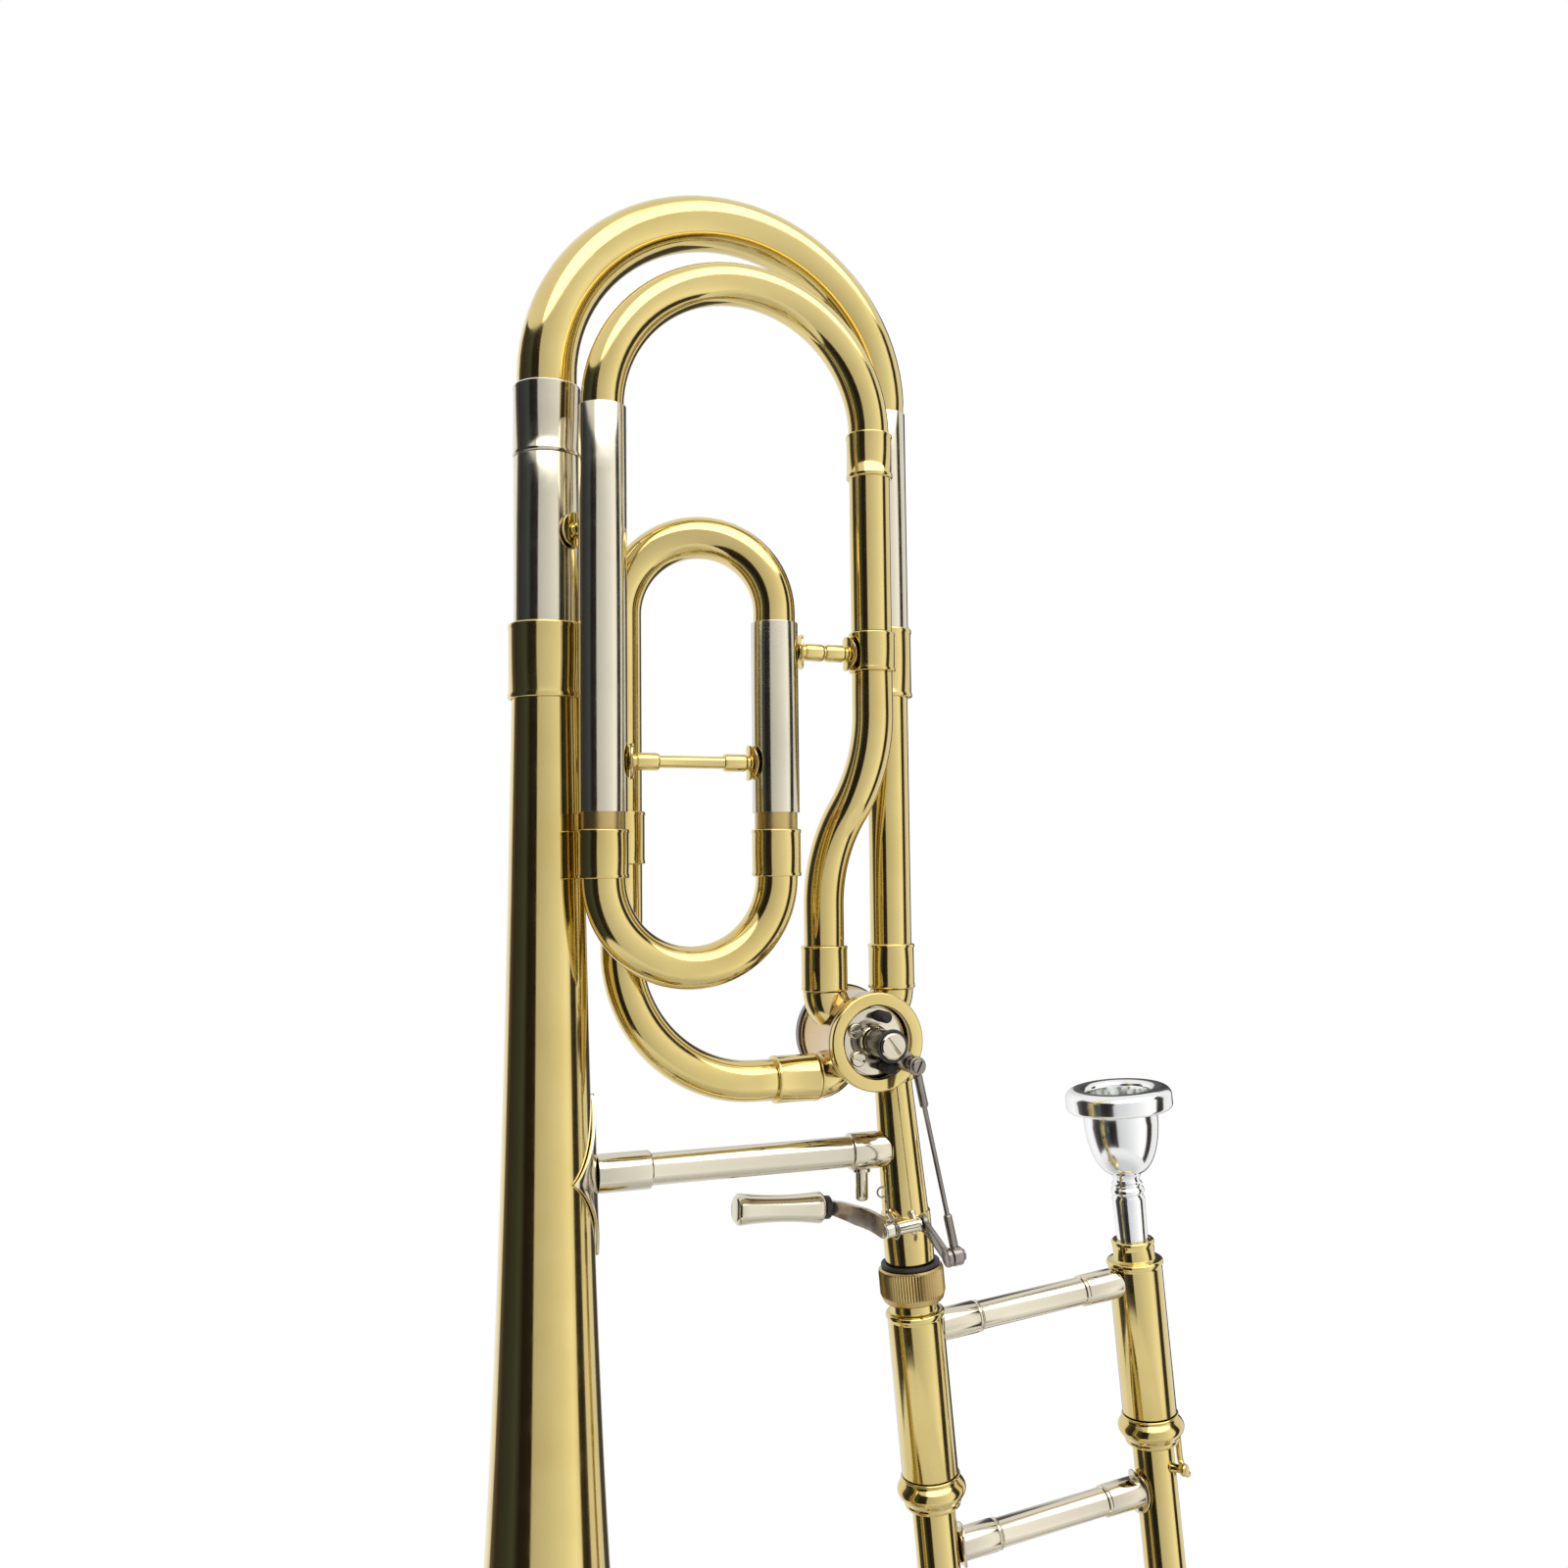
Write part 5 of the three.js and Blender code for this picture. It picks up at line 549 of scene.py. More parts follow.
class TROMBONE_OT_finishes(bpy.types.Operator):
    """Makes the metals, the rubber and the cork"""

    bl_idname = "trombone.finishes"
    bl_label = "Finishes"

    def execute(self, context):
        f = settings("finish")
        for name, colour, deep, gloss, coat, grain in (
            ("lacquered_brass", f.brass, f.brass_deep, f.brass_gloss, 0.35, 0.04),
            ("nickel_silver", f.nickel, f.nickel_deep, f.nickel_gloss, 0, 0.04),
            ("silver_plate", f.silver, dimmed(f.silver, 0.94), 0.11, 0, 0.02),
            ("rose_brass", f.rose, dimmed(f.rose, 0.9), 0.14, 0.2, 0.1),
            # The rear cap's nickel silver, near black as painted shade
            ("nickel_painted_shade", f.nickel_painted_shade, dimmed(f.nickel_painted_shade, 0.8), 0.18, 0, 0.1),
            ("warm_nickel", f.warm_nickel, dimmed(f.warm_nickel, 0.9), 0.27, 0, 0.1),
        ):
            surface = Surface(name, Metallic=1.0, Coat_Weight=coat, Coat_Roughness=0.04)
            surface.colours(surface.noise(28, 4), deep, colour, 0.3, 0.55)
            surface.roughness(surface.noise(140, 5), gloss * 0.75, gloss * 1.5)
            surface.bump(surface.noise(420, 2, (1, 1, 0.08)), grain, 0.00002)
        satin = Surface("satin_brass", Metallic=1.0)
        satin.colours(satin.noise(160, 4), dimmed(f.satin, 0.88), f.satin)
        satin.roughness(satin.noise(500, 4), 0.29, 0.35)
        satin.bump(satin.noise(2600, 3), 0.08, 0.00003)
        steel = Surface("steel", Metallic=1.0)
        steel.colours(steel.noise(90, 4), dimmed(f.steel, 0.72), f.steel)
        steel.roughness(steel.noise(300, 4, (0.2, 1, 1)), 0.2, 0.34)
        steel.bump(steel.noise(1500, 3, (0.08, 1, 1)), 0.25, 0.00003)
        for name, colour, rough, grain in (("black_rubber", f.rubber, 0.5, 900), ("cork", f.cork, 0.75, 1400)):
            surface = Surface(name, Metallic=0.0)
            surface.colours(surface.noise(grain * 0.5, 3), colour, dimmed(colour, 2.2))
            surface.roughness(surface.noise(grain, 3), rough - 0.08, rough + 0.1)
            surface.bump(surface.noise(grain, 4), 0.3, 0.00008)
        for part in frame["record"]["subparts"]:
            obj = frame["nodes"][part["node"]]
            if not obj.material_slots:
                raise RuntimeError("no material slot on " + part["node"])
            for place in obj.material_slots:
                place.material = finish(part["material_slot"])
        return {"FINISHED"}


def finish(slot):
    """The finish made for a material slot."""
    return bpy.data.materials[slot + "_finish"]


# Bell and main tuning slide


class TROMBONE_OT_bell(bpy.types.Operator):
    """Spins the bell with its rolled rim, and its tail ferrule and leg"""

    bl_idname = "trombone.bell"
    bl_label = "Bell"

    def execute(self, context):
        b = settings("bell")
        top, offset, base = b.height / MM, b.flare_offset / MM, b.base_radius / MM
        rim, wall, bead = b.rim_radius / MM, b.wall / MM, b.bead / MM

        def flare(z):
            return base + (rim - base) * (offset / (z + offset)) ** FLARE_POWER

        def inside(z):
            slope = -FLARE_POWER * (flare(z) - base) / (z + offset)
            size = math.hypot(1, slope)
            return flare(z) - wall / size, z + wall * slope / size

        steps = 56
        growth = (top + offset) / (bead + offset)
        heights = [(bead + offset) * growth ** (i / steps) - offset for i in range(steps + 1)]
        angles = [math.radians(205 + 20 * i) for i in range(15)]
        roll = [(rim - bead + bead * math.cos(a), bead + bead * math.sin(a)) for a in angles]
        outer = [(flare(z), z) for z in heights]
        inner = [inside(z) for z in reversed(heights[:-1])]
        horn = turned(NO_TURN, [*roll, *outer, (flare(top) - wall, top), *inner], 112, edge=0)
        piece("spun_bell", "bell", horn, angle=50)
        tail, low = flare(TAIL_FOOT) + 0.3, TAIL_FOOT
        ferrule = [
            (tail, low), (tail + 0.9, low), (tail + 1.15, low + 0.5), (tail + 1.15, low + 1.6),
            (tail + 0.85, low + 2.2), (tail + 0.85, 544.8), (tail + 1.1, 545.4), (tail + 1.1, 546.5),
            (tail + 0.8, 547), (12.2, 547), (12.2, 533.3), (tail, 533.3),
        ]
        piece("tail_ferrule", "bell_tail_ferrule", turned(NO_TURN, ferrule))
        leg = turned(NO_TURN, sleeve(11.9, 11.3, 533.3, 607.8))
        piece("bell_side_leg", "bell_side_outer_leg", leg, slot="nickel_silver")
        return {"FINISHED"}


class TROMBONE_OT_main_slide(bpy.types.Operator):
    """Bends the main tuning bow, and makes its legs and ferrules"""

    bl_idname = "trombone.main_slide"
    bl_label = "Main tuning slide"

    def execute(self, context):
        w, t = settings("bow"), settings("tube")
        span, low = w.spacing / MM, w.low / MM
        small, large = w.small_radius / MM, w.large_radius / MM
        bow = Ring(at(span, 0, low), small)
        bow.bend(span / 2, math.pi, -ACROSS, t.bow_steps, lambda s: small + (large - small) * s**0.5)
        bow = bow.draw(low - 621.4).done(t.wall / MM)
        piece("main_bow", "main_tuning_bow", bow, body="main_tuning_slide")
        collar = [
            (11.35, 608.1), (12, 608.1), (12.3, 608.5), (12.3, 609.3), (12.1, 609.8), (12.1, 632.4),
            (12.25, 632.8), (12.25, 633.6), (11.9, 634.1), (large + 0.3, 634.1), (large + 0.3, 621.1),
            (11.35, 621.1),
        ]
        for name, node, x, outline in (
            ("bow_ferrule", "main_tuning_ferrule", 0, collar),
            ("bell_side_inner_tube", "bell_side_inner_leg", 0, sleeve(11.05, 10.45, 554.8, 620.8)),
            ("neck_side_inner_tube", "neck_side_inner_leg", span, sleeve(*INNER, 556, 638)),
        ):
            piece(name, node, turned(at(x), outline), body="main_tuning_slide", slot="nickel_silver")
        leg = turned(at(span), sleeve(*LEG, 538.3, 638))
        piece("neck_side_leg", "neck_side_outer_leg", leg, slot="nickel_silver")
        foot, shoulder = PORT_FACE, 525
        tube = [
            (7.35, foot), (8.9, foot), (9.05, foot + 0.5), (9.05, foot + 1.4), (8.8, foot + 1.9),
            (8.8, foot + 15.4), (9.05, foot + 15.8), (9.05, foot + 16.6), (8.7, foot + 17), (7.95, foot + 17),
            (7.95, shoulder), (9.5, shoulder), (9.8, shoulder + 0.5), (9.8, shoulder + 1.5), (9.5, shoulder + 2),
            (9.5, 550), (9.8, 550.5), (9.8, 551.5), (9.5, 552), (8.9, 552), (8.9, 538), (7.35, 538),
        ]
        piece("neck_side_pipe", "neck_side_tube", turned(at(span), tube))
        return {"FINISHED"}


# F attachment


class TROMBONE_OT_f_attachment(bpy.types.Operator):
    """Bends the F attachment's tubes, and makes its legs and its tuning slide"""

    bl_idname = "trombone.f_attachment"
    bl_label = "F attachment"

    def execute(self, context):
        t = settings("tube")
        y, r, wall, steps = t.wrap_y / MM, t.tube_radius / MM, t.wall / MM, t.bow_steps
        span = settings("bow").f_span / MM
        for side, x, top in (("long", F_LONG_X, 622.5), ("short", F_SHORT_X, 548.5)):
            leg = turned(at(x, y), sleeve(*LEG, 479, top))
            piece(f"f_{side}_leg", f"f_{side}_outer_leg", leg, slot="nickel_silver")
        for side, x, length in (("long", F_LONG_X, 128), ("short", F_SHORT_X, 70)):
            inner = turned(at(x, y), sleeve(*INNER, 464.5, 464.5 + length))
            piece(f"f_inner_tube_{side}", f"f_inner_leg_{side}", inner, body="f_tuning_slide", look="satin_brass")
            ring = turned(at(x, y), sleeve(8.85, 8.05, 456, 473, 0.22))
            piece(f"f_slide_collar_{side}", f"f_slide_ferrule_{side}", ring, body="f_tuning_slide")
        low = Ring(at(F_LONG_X, y, 464.2) @ DOWNWARDS, r).draw(8.2)
        low = low.bend((F_SHORT_X - F_LONG_X) / 2, math.pi, ACROSS, steps).draw(8.2).done(wall)
        piece("f_slide_bow", "f_tuning_bow", low, body="f_tuning_slide")
        high = Ring(at(F_LONG_X, y, 616.5), r).draw(6).bend(span / 2, math.pi, ACROSS, steps).draw(6).done(wall)
        piece("f_top_bow", "f_upper_bow", high)
        side = [
            (7.05, 547), (r, 547), (r, 605.5), (8.4, 605.5), (8.8, 606), (8.8, 607), (8.5, 607.5), (8.5, 620.8),
            (8.8, 621.3), (8.8, 622.1), (8.5, 622.5), (7.95, 622.5), (7.95, 616.2), (7.05, 616.2),
        ]
        piece("f_side_tube", "f_straight_tube", turned(at(F_SIDE_X, y), side))
        back = Vector((RETURN_X, 0, 0)) - Vector((F_SHORT_X, y, 0))
        small = Ring(at(F_SHORT_X, y, 542.5), r).draw(10).bend(back.length / 2, math.pi, back, steps)
        piece("f_small_bow", "f_return_bow", small.draw(552.5 - 470.5).done(wall))

        corner = Ring(at(RETURN_X, 0, 461.5) @ DOWNWARDS, r).draw(31.5).bend(50, HALF, ACROSS, 24)
        shells = [corner.draw(8.2).done(wall), turned(at(RETURN_X), sleeve(8.6, 7.95, 461, 480, 0.2))]
        shells.append(turned(at(84.72, 0, 380) @ TO_RIGHT, sleeve(8.75, 7.2, 0, 17, 0.15)))
        piece("f_corner_bend", "f_quarter_bend", *shells)

        across, reach = Vector((F_SIDE_X - SWAN_X, y, 0)), 62
        swing = math.acos(1 - across.length / (2 * reach))
        spare = 532 - PORT_FACE - 17 - 2 * reach * math.sin(swing)
        swan = Ring(at(SWAN_X, 0, 428), r).draw(1.28 + spare / 2).bend(reach, swing, across, 20)
        away = (UP * math.sin(swing) - across.normalized() * math.cos(swing)).normalized()
        shells = [swan.bend(reach, swing, away, 20).draw(spare / 2 + 2).done(wall)]
        shells.append(turned(at(SWAN_X), sleeve(8.75, 7.1, PORT_FACE, PORT_FACE + 17, 0.15)))
        shells.append(turned(at(F_SIDE_X, y), sleeve(8.6, 7.1, 532, 546.7, 0.2)))
        piece("f_swan_bend", "f_s_bend", *shells)
        return {"FINISHED"}


# Braces


def brace_profile(length, first, second, sleeve_length, rod):
    """Outline of a small brace: a foot and a sleeve at each end, and a rod between them."""
    radius, waist = 3.2, 2.56
    half = (
        (0, 0), (radius, 0), (radius, 1), (waist, 1.6), (waist, 2.6), (radius, 3.2),
        (radius, sleeve_length - 1), (radius - 0.3, sleeve_length), (rod, sleeve_length),
    )
    return mirrored(half, first + 0.3, length - second - 0.3)


class TROMBONE_OT_braces(bpy.types.Operator):
    """Turns the braces and bends their flanges round the tubes"""

    bl_idname = "trombone.braces"
    bl_label = "Braces"

    def execute(self, context):
        y = settings("tube").wrap_y / MM
        flange = 6.4
        for name, node, x, end, height, seat, length, rod, reach in (
            ("f_leg_stay", "f_slide_brace", F_LONG_X, F_SHORT_X, 497, 8.6, 11, 2.2, 9.4),
            ("f_side_stay", "f_side_brace", F_SHORT_X, F_SIDE_X, 538.5, 8.8, 10.1, 2.1, 9.6),
        ):
            bar = turned(at(x, y, height) @ TO_RIGHT, brace_profile(end - x, 8.6, seat, length, rod), 32)
            near = wrapped_disc(at(x, y), 9.4, 0, height, flange)
            far = wrapped_disc(at(end, y), reach, math.pi, height, flange)
            piece(name, node, bar, near, far)

        angle, height = math.atan2(y, F_LONG_X), 580
        end = math.hypot(F_LONG_X, y) - 8.95
        outline = [
            (0, 12.3), (3.2, 12.3), (3.2, 13.2), (2.4, 13.8), (2.4, 14.6), (3.1, 15.2), (3.1, end), (0, end)
        ]
        post = turned(at(0, 0, height) @ turned_by(angle) @ TO_RIGHT, outline, 32)
        piece("leg_stay", "leg_brace", post, wrapped_disc(NO_TURN, 12.75, angle, height, flange))
        make_bell_stay()
        return {"FINISHED"}


def make_bell_stay():
    only()
    middle = {"center_override": (0.06, 0, STAY_HEIGHT * MM)}
    bpy.ops.mesh.primitive_plane_add(
        size=math.sqrt(0.5), location=middle["center_override"], rotation=(0, HALF, 0)
    )
    mode("EDIT")
    bpy.ops.transform.rotate(value=math.pi / 4, orient_axis="X", **middle)
    bpy.ops.transform.resize(value=(1, FLANGE_WIDTH * MM, FLANGE_HEIGHT * MM), **middle)
    bpy.ops.mesh.subdivide(number_cuts=20)
    mode("OBJECT")
    settle()
    apply_modifier(
        "SHRINKWRAP", target=bpy.data.objects["spun_bell"], wrap_method="PROJECT", use_project_x=True,
        use_negative_direction=True, use_positive_direction=True, offset=0.3 * MM, wrap_mode="ABOVE_SURFACE",
    )
    thicken(1.2, 1)
    piece("bell_flange_plate", "bell_flange", soften(0.25), slot="nickel_silver")
    full, end = 6.9, 130.0
    outline = [
        (0, 17.4), (full, 17.4), (full, 36.4), (6.75, 36.9), (5.9, 37.1), (5.75, 37.6), (5.75, 114.6),
        (5.9, 115.1), (6.75, 115.3), (full, 115.8), (full, end), (0, end),
    ]
    bar = turned(at(0, 0, STAY_HEIGHT) @ TO_RIGHT, outline, 48)
    coped(bar, neck(), 8.8, -45, -5)
    piece("bell_stay", "bell_brace", bar, slot="nickel_silver")
    post = turned(at(121.5, 3), [(0, 331.6), (1.9, 331.6), (2.4, 332.4), (2.4, 342.8), (0, 342.8)], 32)
    foot = turned(at(121.5, 3), [(0, 342.4), (3.4, 342.4), (3.4, 343.2), (2.2, 345.6), (0, 345.6)], 32)
    piece("lever_stop", "lever_stop_post", post, foot, slot="nickel_silver")


# Rotary valve


class TROMBONE_OT_valve(bpy.types.Operator):
    """Makes the valve's casing with its knuckles, its covers and its stop mechanism"""

    bl_idname = "trombone.valve"
    bl_label = "Rotary valve"

    def execute(self, context):
        front, r = valve() @ TO_FRONT, settings("valve").radius / MM
        drum = [
            (15.8, -15), (r, -15), (r, -13.4), (17.6, -12.8), (17.6, 12.6), (r, 13.2), (r, 15), (15.8, 15)
        ]
        piece("casing_drum", None, turned(front, drum, 72), look="rose_brass")
        make_knuckles()
        bearing = [
            (3.3, 9.3), (15.45, 9.3), (15.45, 13.6), (12.4, 13.8), (6.2, 13.8), (5.6, 14.4), (5, 14.6), (5, 17.1),
            (4.7, 17.4), (3.3, 17.4),
        ]
        piece("front_bearing", "valve_front_bearing", turned(front, bearing), slot="nickel_silver")
        ring = [(13.4, 15.3), (18.2, 15.3), (r, 15.6), (r, 17.8), (17.9, 18.3), (13.8, 18.3), (13.4, 17.9)]
        piece("front_ring", "valve_front_ring", turned(front, ring, 72))
        cap = [
            (0, -19.1), (17.9, -19.1), (17.9, -15.3), (19.1, -15.3), (19.1, -16.2), (18.8, -16.5), (18.8, -19),
            (r, -19.9), (17.4, -20.3), (6, -20.3), (5.4, -19.8), (0, -19.8),
        ]
        # The rear cap is nickel silver, and its near-black colour is painted shade
        piece("rear_cap", "valve_rear_cap", turned(front, cap, 72), slot="nickel_silver", look="nickel_painted_shade")
        make_stops(front)
        return {"FINISHED"}


def make_knuckles():
    v = settings("valve")
    reach, quarter = 9.6, math.pi / 4
    start = v.port / MM - reach * (1 - math.sqrt(0.5))
    shells = []
    for x, z, inward, angle in (
        (1, 1, (-1, 0, 1), quarter),
        (-1, 1, (1, 0, 1), quarter),
        (-1, -1, (-1, 0, 1), quarter),
        (1, -1, (-1, 0, -1), quarter + settings("neck").lean),
    ):
        out = Vector((x, 0, z)).normalized()
        root = valve() @ (Vector((x, 0, z)) * start * MM - out * 4 * MM)
        knuckle = Ring(facing(out, root), v.knuckle / MM, 48).draw(4).bend(reach, angle, Vector(inward), 8)
        shells.append(knuckle.done(0.8))
    piece("casing", "valve_casing", *shells)


def make_stops(front):
    rest = settings("valve").rest
    arm = front @ turned_by(rest)
    hub = turned(front, [(3.3, 17.7), (4.9, 17.7), (5.2, 18.1), (5.2, 28.5), (4.8, 29), (3.3, 29)], 40)
    tip = turned(arm @ at(STOP_REACH), [(0, 18.7), (3.1, 18.7), (3.1, 28.6), (2.7, 29), (0, 29)], 32)
    bar = Ring(arm @ at(3.4, 0, 23.9) @ TO_RIGHT, flat=(9.4, 6)).draw(7.4).cap().done(edge=0.5)
    piece("stop_arm", "rotor_stop_arm", hub, tip, bar, body="valve_rotor", slot="steel")
    head = slotted_head(front, 4.9, 29.3, 32.1, 1.25, 128)
    piece("centre_screw", "rotor_screw", head, body="valve_rotor", slot="nickel_silver")
    ring = Ring(front @ at(5.5, 0, 30.4) @ TO_FRONT, 0.62, 12).bend(5.5, math.tau, -ACROSS, 40).done(edge=0)
    piece("centre_screw_ring", None, ring, body="valve_rotor", slot="black_rubber")

    lead = math.asin(CORK_TOUCH / CORK_REACH)
    lower, upper = rest - lead, rest + HALF + lead
    for side, angle in (("lower", lower), ("upper", upper)):
        cork = [(0, 15.9), (2.2, 15.9), (2.2, 23.2), (1.7, 24), (0, 24)]
        block = turned(front @ turned_by(angle) @ at(CORK_REACH), cork, 24, edge=0.2)
        piece("cork_bumper_" + side, "stop_cork_" + side, block, slot="cork")
    first, last = upper - lead / 2, lower + lead / 2 + math.tau
    start = front @ turned_by(first) @ at(PLATE_REACH, 0, 14.85)
    plate = Ring(start @ Matrix.Rotation(-HALF, 4, "X"), flat=(6, 1.5))
    plate.bend(PLATE_REACH, last - first, start.to_3x3() @ -ACROSS, 36)
    shells = [plate.cap().done(edge=0.15)]
    for step, slot_turn in ((-lead, 40), (lead, -60)):
        place = front @ turned_by((first + last) / 2 + step) @ at(PLATE_REACH)
        shells.append(slotted_head(place, 2.9, 15.4, 17.6, 0.95, slot_turn))
    piece("stop_plate_with_screws", "stop_plate", *shells, slot="nickel_silver")


class TROMBONE_OT_linkage(bpy.types.Operator):
    """Makes the link rod, the lever with its axle, grip and spring, and their saddle"""

    bl_idname = "trombone.linkage"
    bl_label = "Lever and link"

    def execute(self, context):
        n = settings("neck")
        drop, half_turn = n.lever_drop / MM, n.lever_turn / 2
        make_link(drop, half_turn)
        make_saddle(drop)
        make_axle(drop, half_turn)
        make_lever(drop)
        make_grip(drop)
        make_spring(drop)
        return {"FINISHED"}


def make_link(drop, half_turn):
    rest = settings("valve").rest
    pin = valve(STOP_REACH * math.cos(rest), -31.3, STOP_REACH * math.sin(rest)).to_translation()
    upper = (neck().inverted() @ pin) / MM
    rise, forth = LINK_REACH * math.sin(half_turn), LINK_REACH * math.cos(half_turn)
    lower = Vector((4.1, LEVER_Y - forth, -drop - rise))
    length = (lower - upper).length
    half = ((0, 1), (1.6, 1), (1.6, 3), (1.3, 3.4), (1.6, 3.8), (1.6, 14.8), (1.2, 15.4), (0.9, 15.4))
    direction = (neck().to_3x3() @ (lower - upper)).normalized()
    shaft = turned(facing(direction, neck(*upper).to_translation()), mirrored(half, 0, length), 24, edge=0.08)
    eye = turned(neck(*upper) @ TO_FRONT, washer(0, 3.4, -2, 2), 32)
    head = slotted_head(neck(*upper) @ TO_FRONT, 2.6, 2, 3.4, 0.7, 60, 24)
    low_eye = turned(neck(*lower) @ TO_RIGHT, washer(0, 3.4, -2, 2), 32)
    ball = [(0, 1.8), (1.2, 1.8), (1.2, 2.2), (1.9, 2.4), (2.2, 2.8), (2.1, 3.2), (1.6, 3.4), (0, 3.4)]
    ball = turned(neck(*lower) @ TO_RIGHT, ball, 24)
    piece("link_rod", "valve_link", shaft, eye, head, low_eye, ball, body="linkage", slot="steel")


def make_saddle(drop):
    half = ((1.5, 0), (2.3, 0), (2.6, 0.3), (2.6, 1.3), (2.4, 1.5))
    shells = [turned(neck(LEVER_X, LEVER_Y, -drop) @ TO_RIGHT, mirrored(half, -5.5, 5.5), 32)]
    for x, back in ((-10, 3), (-2, math.sqrt(9.8**2 - 4))):
        for rise in (-3.6, 3.6):
            foot = neck(x, LEVER_Y, -drop).to_translation()
            leg = neck(x * 0.85, -back * 0.98, -drop + rise).to_translation() - foot
            end = leg.length / MM
            outline = [(0, 1.6), (1.1, 1.6), (1, end - 1.6), (1.5, end - 1), (1.6, end - 0.2), (0, end - 0.2)]
            shells.append(turned(facing(leg.normalized(), foot), outline, 20))
    piece("lever_saddle_tube", "lever_saddle", *shells, slot="nickel_silver")


def make_axle(drop, half_turn):
    place = neck(LEVER_X, LEVER_Y, -drop) @ Matrix.Rotation(half_turn, 4, "X")
    shells = [turned(place @ TO_RIGHT, [(0, -9.2), (1.2, -9.2), (1.2, 5.9), (0, 5.9)], 24)]
    bar = Ring(place @ at(6.8) @ TO_FRONT, flat=(2, 4.4)).draw(LINK_REACH).cap()
    shells.append(bar.done(edge=0.3))
    for y in (0, -LINK_REACH):
        shells.append(turned(place @ at(5.8, y) @ TO_RIGHT, washer(0, 3.4, 0, 2, 0.2, 0.3), 32))
    piece("link_arm", "lever_axle", *shells, body="thumb_lever_set", slot="steel")


def make_lever(drop):
    hub = turned(neck(-13.5, LEVER_Y, -drop) @ TO_RIGHT, washer(1.5, 2.9, -1.7, 1.7, 0.2, 0.3), 32)
    piece("lever_hub", None, hub, body="thumb_lever_set", slot="steel", look="nickel_silver")
    grip = grip_place(drop)
    end = (neck().inverted() @ (grip @ Vector((3.1 * MM, 0, 0)))) / MM
    route = (
        (-14.4, -13.4, -drop + 0.3, 1),
        (-16, -9.6, -drop + 1.7, 1),
        (-17.6, -4, -drop + 2.6, 1),
        (-19.6, 2.6, -drop + 3, 0.97),
        (-21.8, 8.8, -drop + 3.6, 0.88),
        (end.x, GRIP_Y, end.z, 0.72),
    )
    tang = turned(grip @ TO_RIGHT, [(0, -18), (1.8, -18), (1.8, 3.6), (0, 3.6)], 24)
    arm = make_strip(route, 7.4, 2.2)
    piece("thumb_arm", "thumb_lever", arm, tang, body="thumb_lever_set", slot="steel", look="warm_nickel")


def make_strip(route, width, thickness):
    """A flat bar on edge through points of the neck frame, each with its share of the width."""
    curve = bpy.data.curves.new("strip", "CURVE")
    curve.dimensions = "3D"
    curve.resolution_u = 10
    curve.twist_mode = "Z_UP"
    spline = curve.splines.new("BEZIER")
    spline.bezier_points.add(len(route) - 1)
    for point, (*place, taper) in zip(spline.bezier_points, route):
        point.co = neck(*place).to_translation()
        point.radius = taper
        point.handle_left_type = point.handle_right_type = "AUTO"
    curve.extrude = width / 2 * MM
    obj = bpy.data.objects.new("strip", curve)
    bpy.context.scene.collection.objects.link(obj)
    only(obj)
    bpy.ops.object.convert(target="MESH")
    mode("EDIT")
    close(SAME_POINT_BAR)
    thicken(thickness, 0)
    return soften(0.35)


def grip_place(drop):
    """The grip's inner end, behind the neck's plane, with its X towards the neck."""
    n = settings("neck")
    rise = GRIP_RISE - drop
    local = (neck().inverted() @ Vector((GRIP_X * MM, GRIP_Y * MM, n.top[2] + rise * MM))) / MM
    return neck(local.x, GRIP_Y, rise) @ Matrix.Rotation(n.grip_tilt, 4, "Y")


def make_grip(drop):
    place = grip_place(drop) @ Matrix.Rotation(-HALF, 4, "Y")
    waist = [(5 + 0.98 * (2 * s - 1) ** 2, 1.8 + 32.4 * s) for s in (i / 12 for i in range(13))]
    outline = [(2.1, 0), (4.3, 0), (4.9, 0.3), (5.9, 1.4), *waist, (5.9, 34.6), (4.9, 35.7), (4.3, 36), (0, 36)]
    barrel = turned(place, outline, 48, edge=0.12)
    piece("grip", "thumb_grip", barrel, body="thumb_lever_set", slot="nickel_silver")
    ring = turned(place, washer(2.1, 4.4, -2.7, -0.3), 40)
    piece("grip_ring", "lever_collar", ring, body="thumb_lever_set", slot="black_rubber")


def make_spring(drop):
    place = neck(-13.6, LEVER_Y, -drop)
    coil = Ring(place @ at(2.6, -3.5), radius=0.35, sides=10, capped=True)
    coil = coil.bend(3.5, math.tau * 1.5, place.to_3x3() @ BACK, 44).draw(2.5).cap().done(edge=0)
    wire = Ring(neck(-9.4, -5.5, -drop + 2.5), radius=0.35, sides=10, capped=True)
    wire = wire.draw(9.5).bend(1.9, math.tau * 0.97, place.to_3x3() @ -ACROSS, 30).cap().done(edge=0)
    piece("lever_spring", None, coil, wire, slot="steel")


# Neck and hand slide


class TROMBONE_OT_neck(bpy.types.Operator):
    """Turns the neckpipe, its black ring and the ribbed lock nut"""

    bl_idname = "trombone.neck"
    bl_label = "Neck"

    def execute(self, context):
        pipe = [
            (6.6, -0.3), (7.2, -0.3), (8.9, -50), (9.3, -50), (9.5, -50.4), (9.5, -68.6), (9.2, -69), (8.9, -69),
            (8.9, -80), (7.95, -80), (7.95, -63.7), (6.6, -63.7),
        ]
        piece("neck_pipe", "neckpipe", turned(neck(), pipe, 64))
        ring = turned(neck(), washer(9.2, 11.3, -70.7, -69.3, 0.3, 0.3), 56)
        piece("receiver_washer", "receiver_ring", ring, slot="black_rubber")
        make_nut()
        return {"FINISHED"}


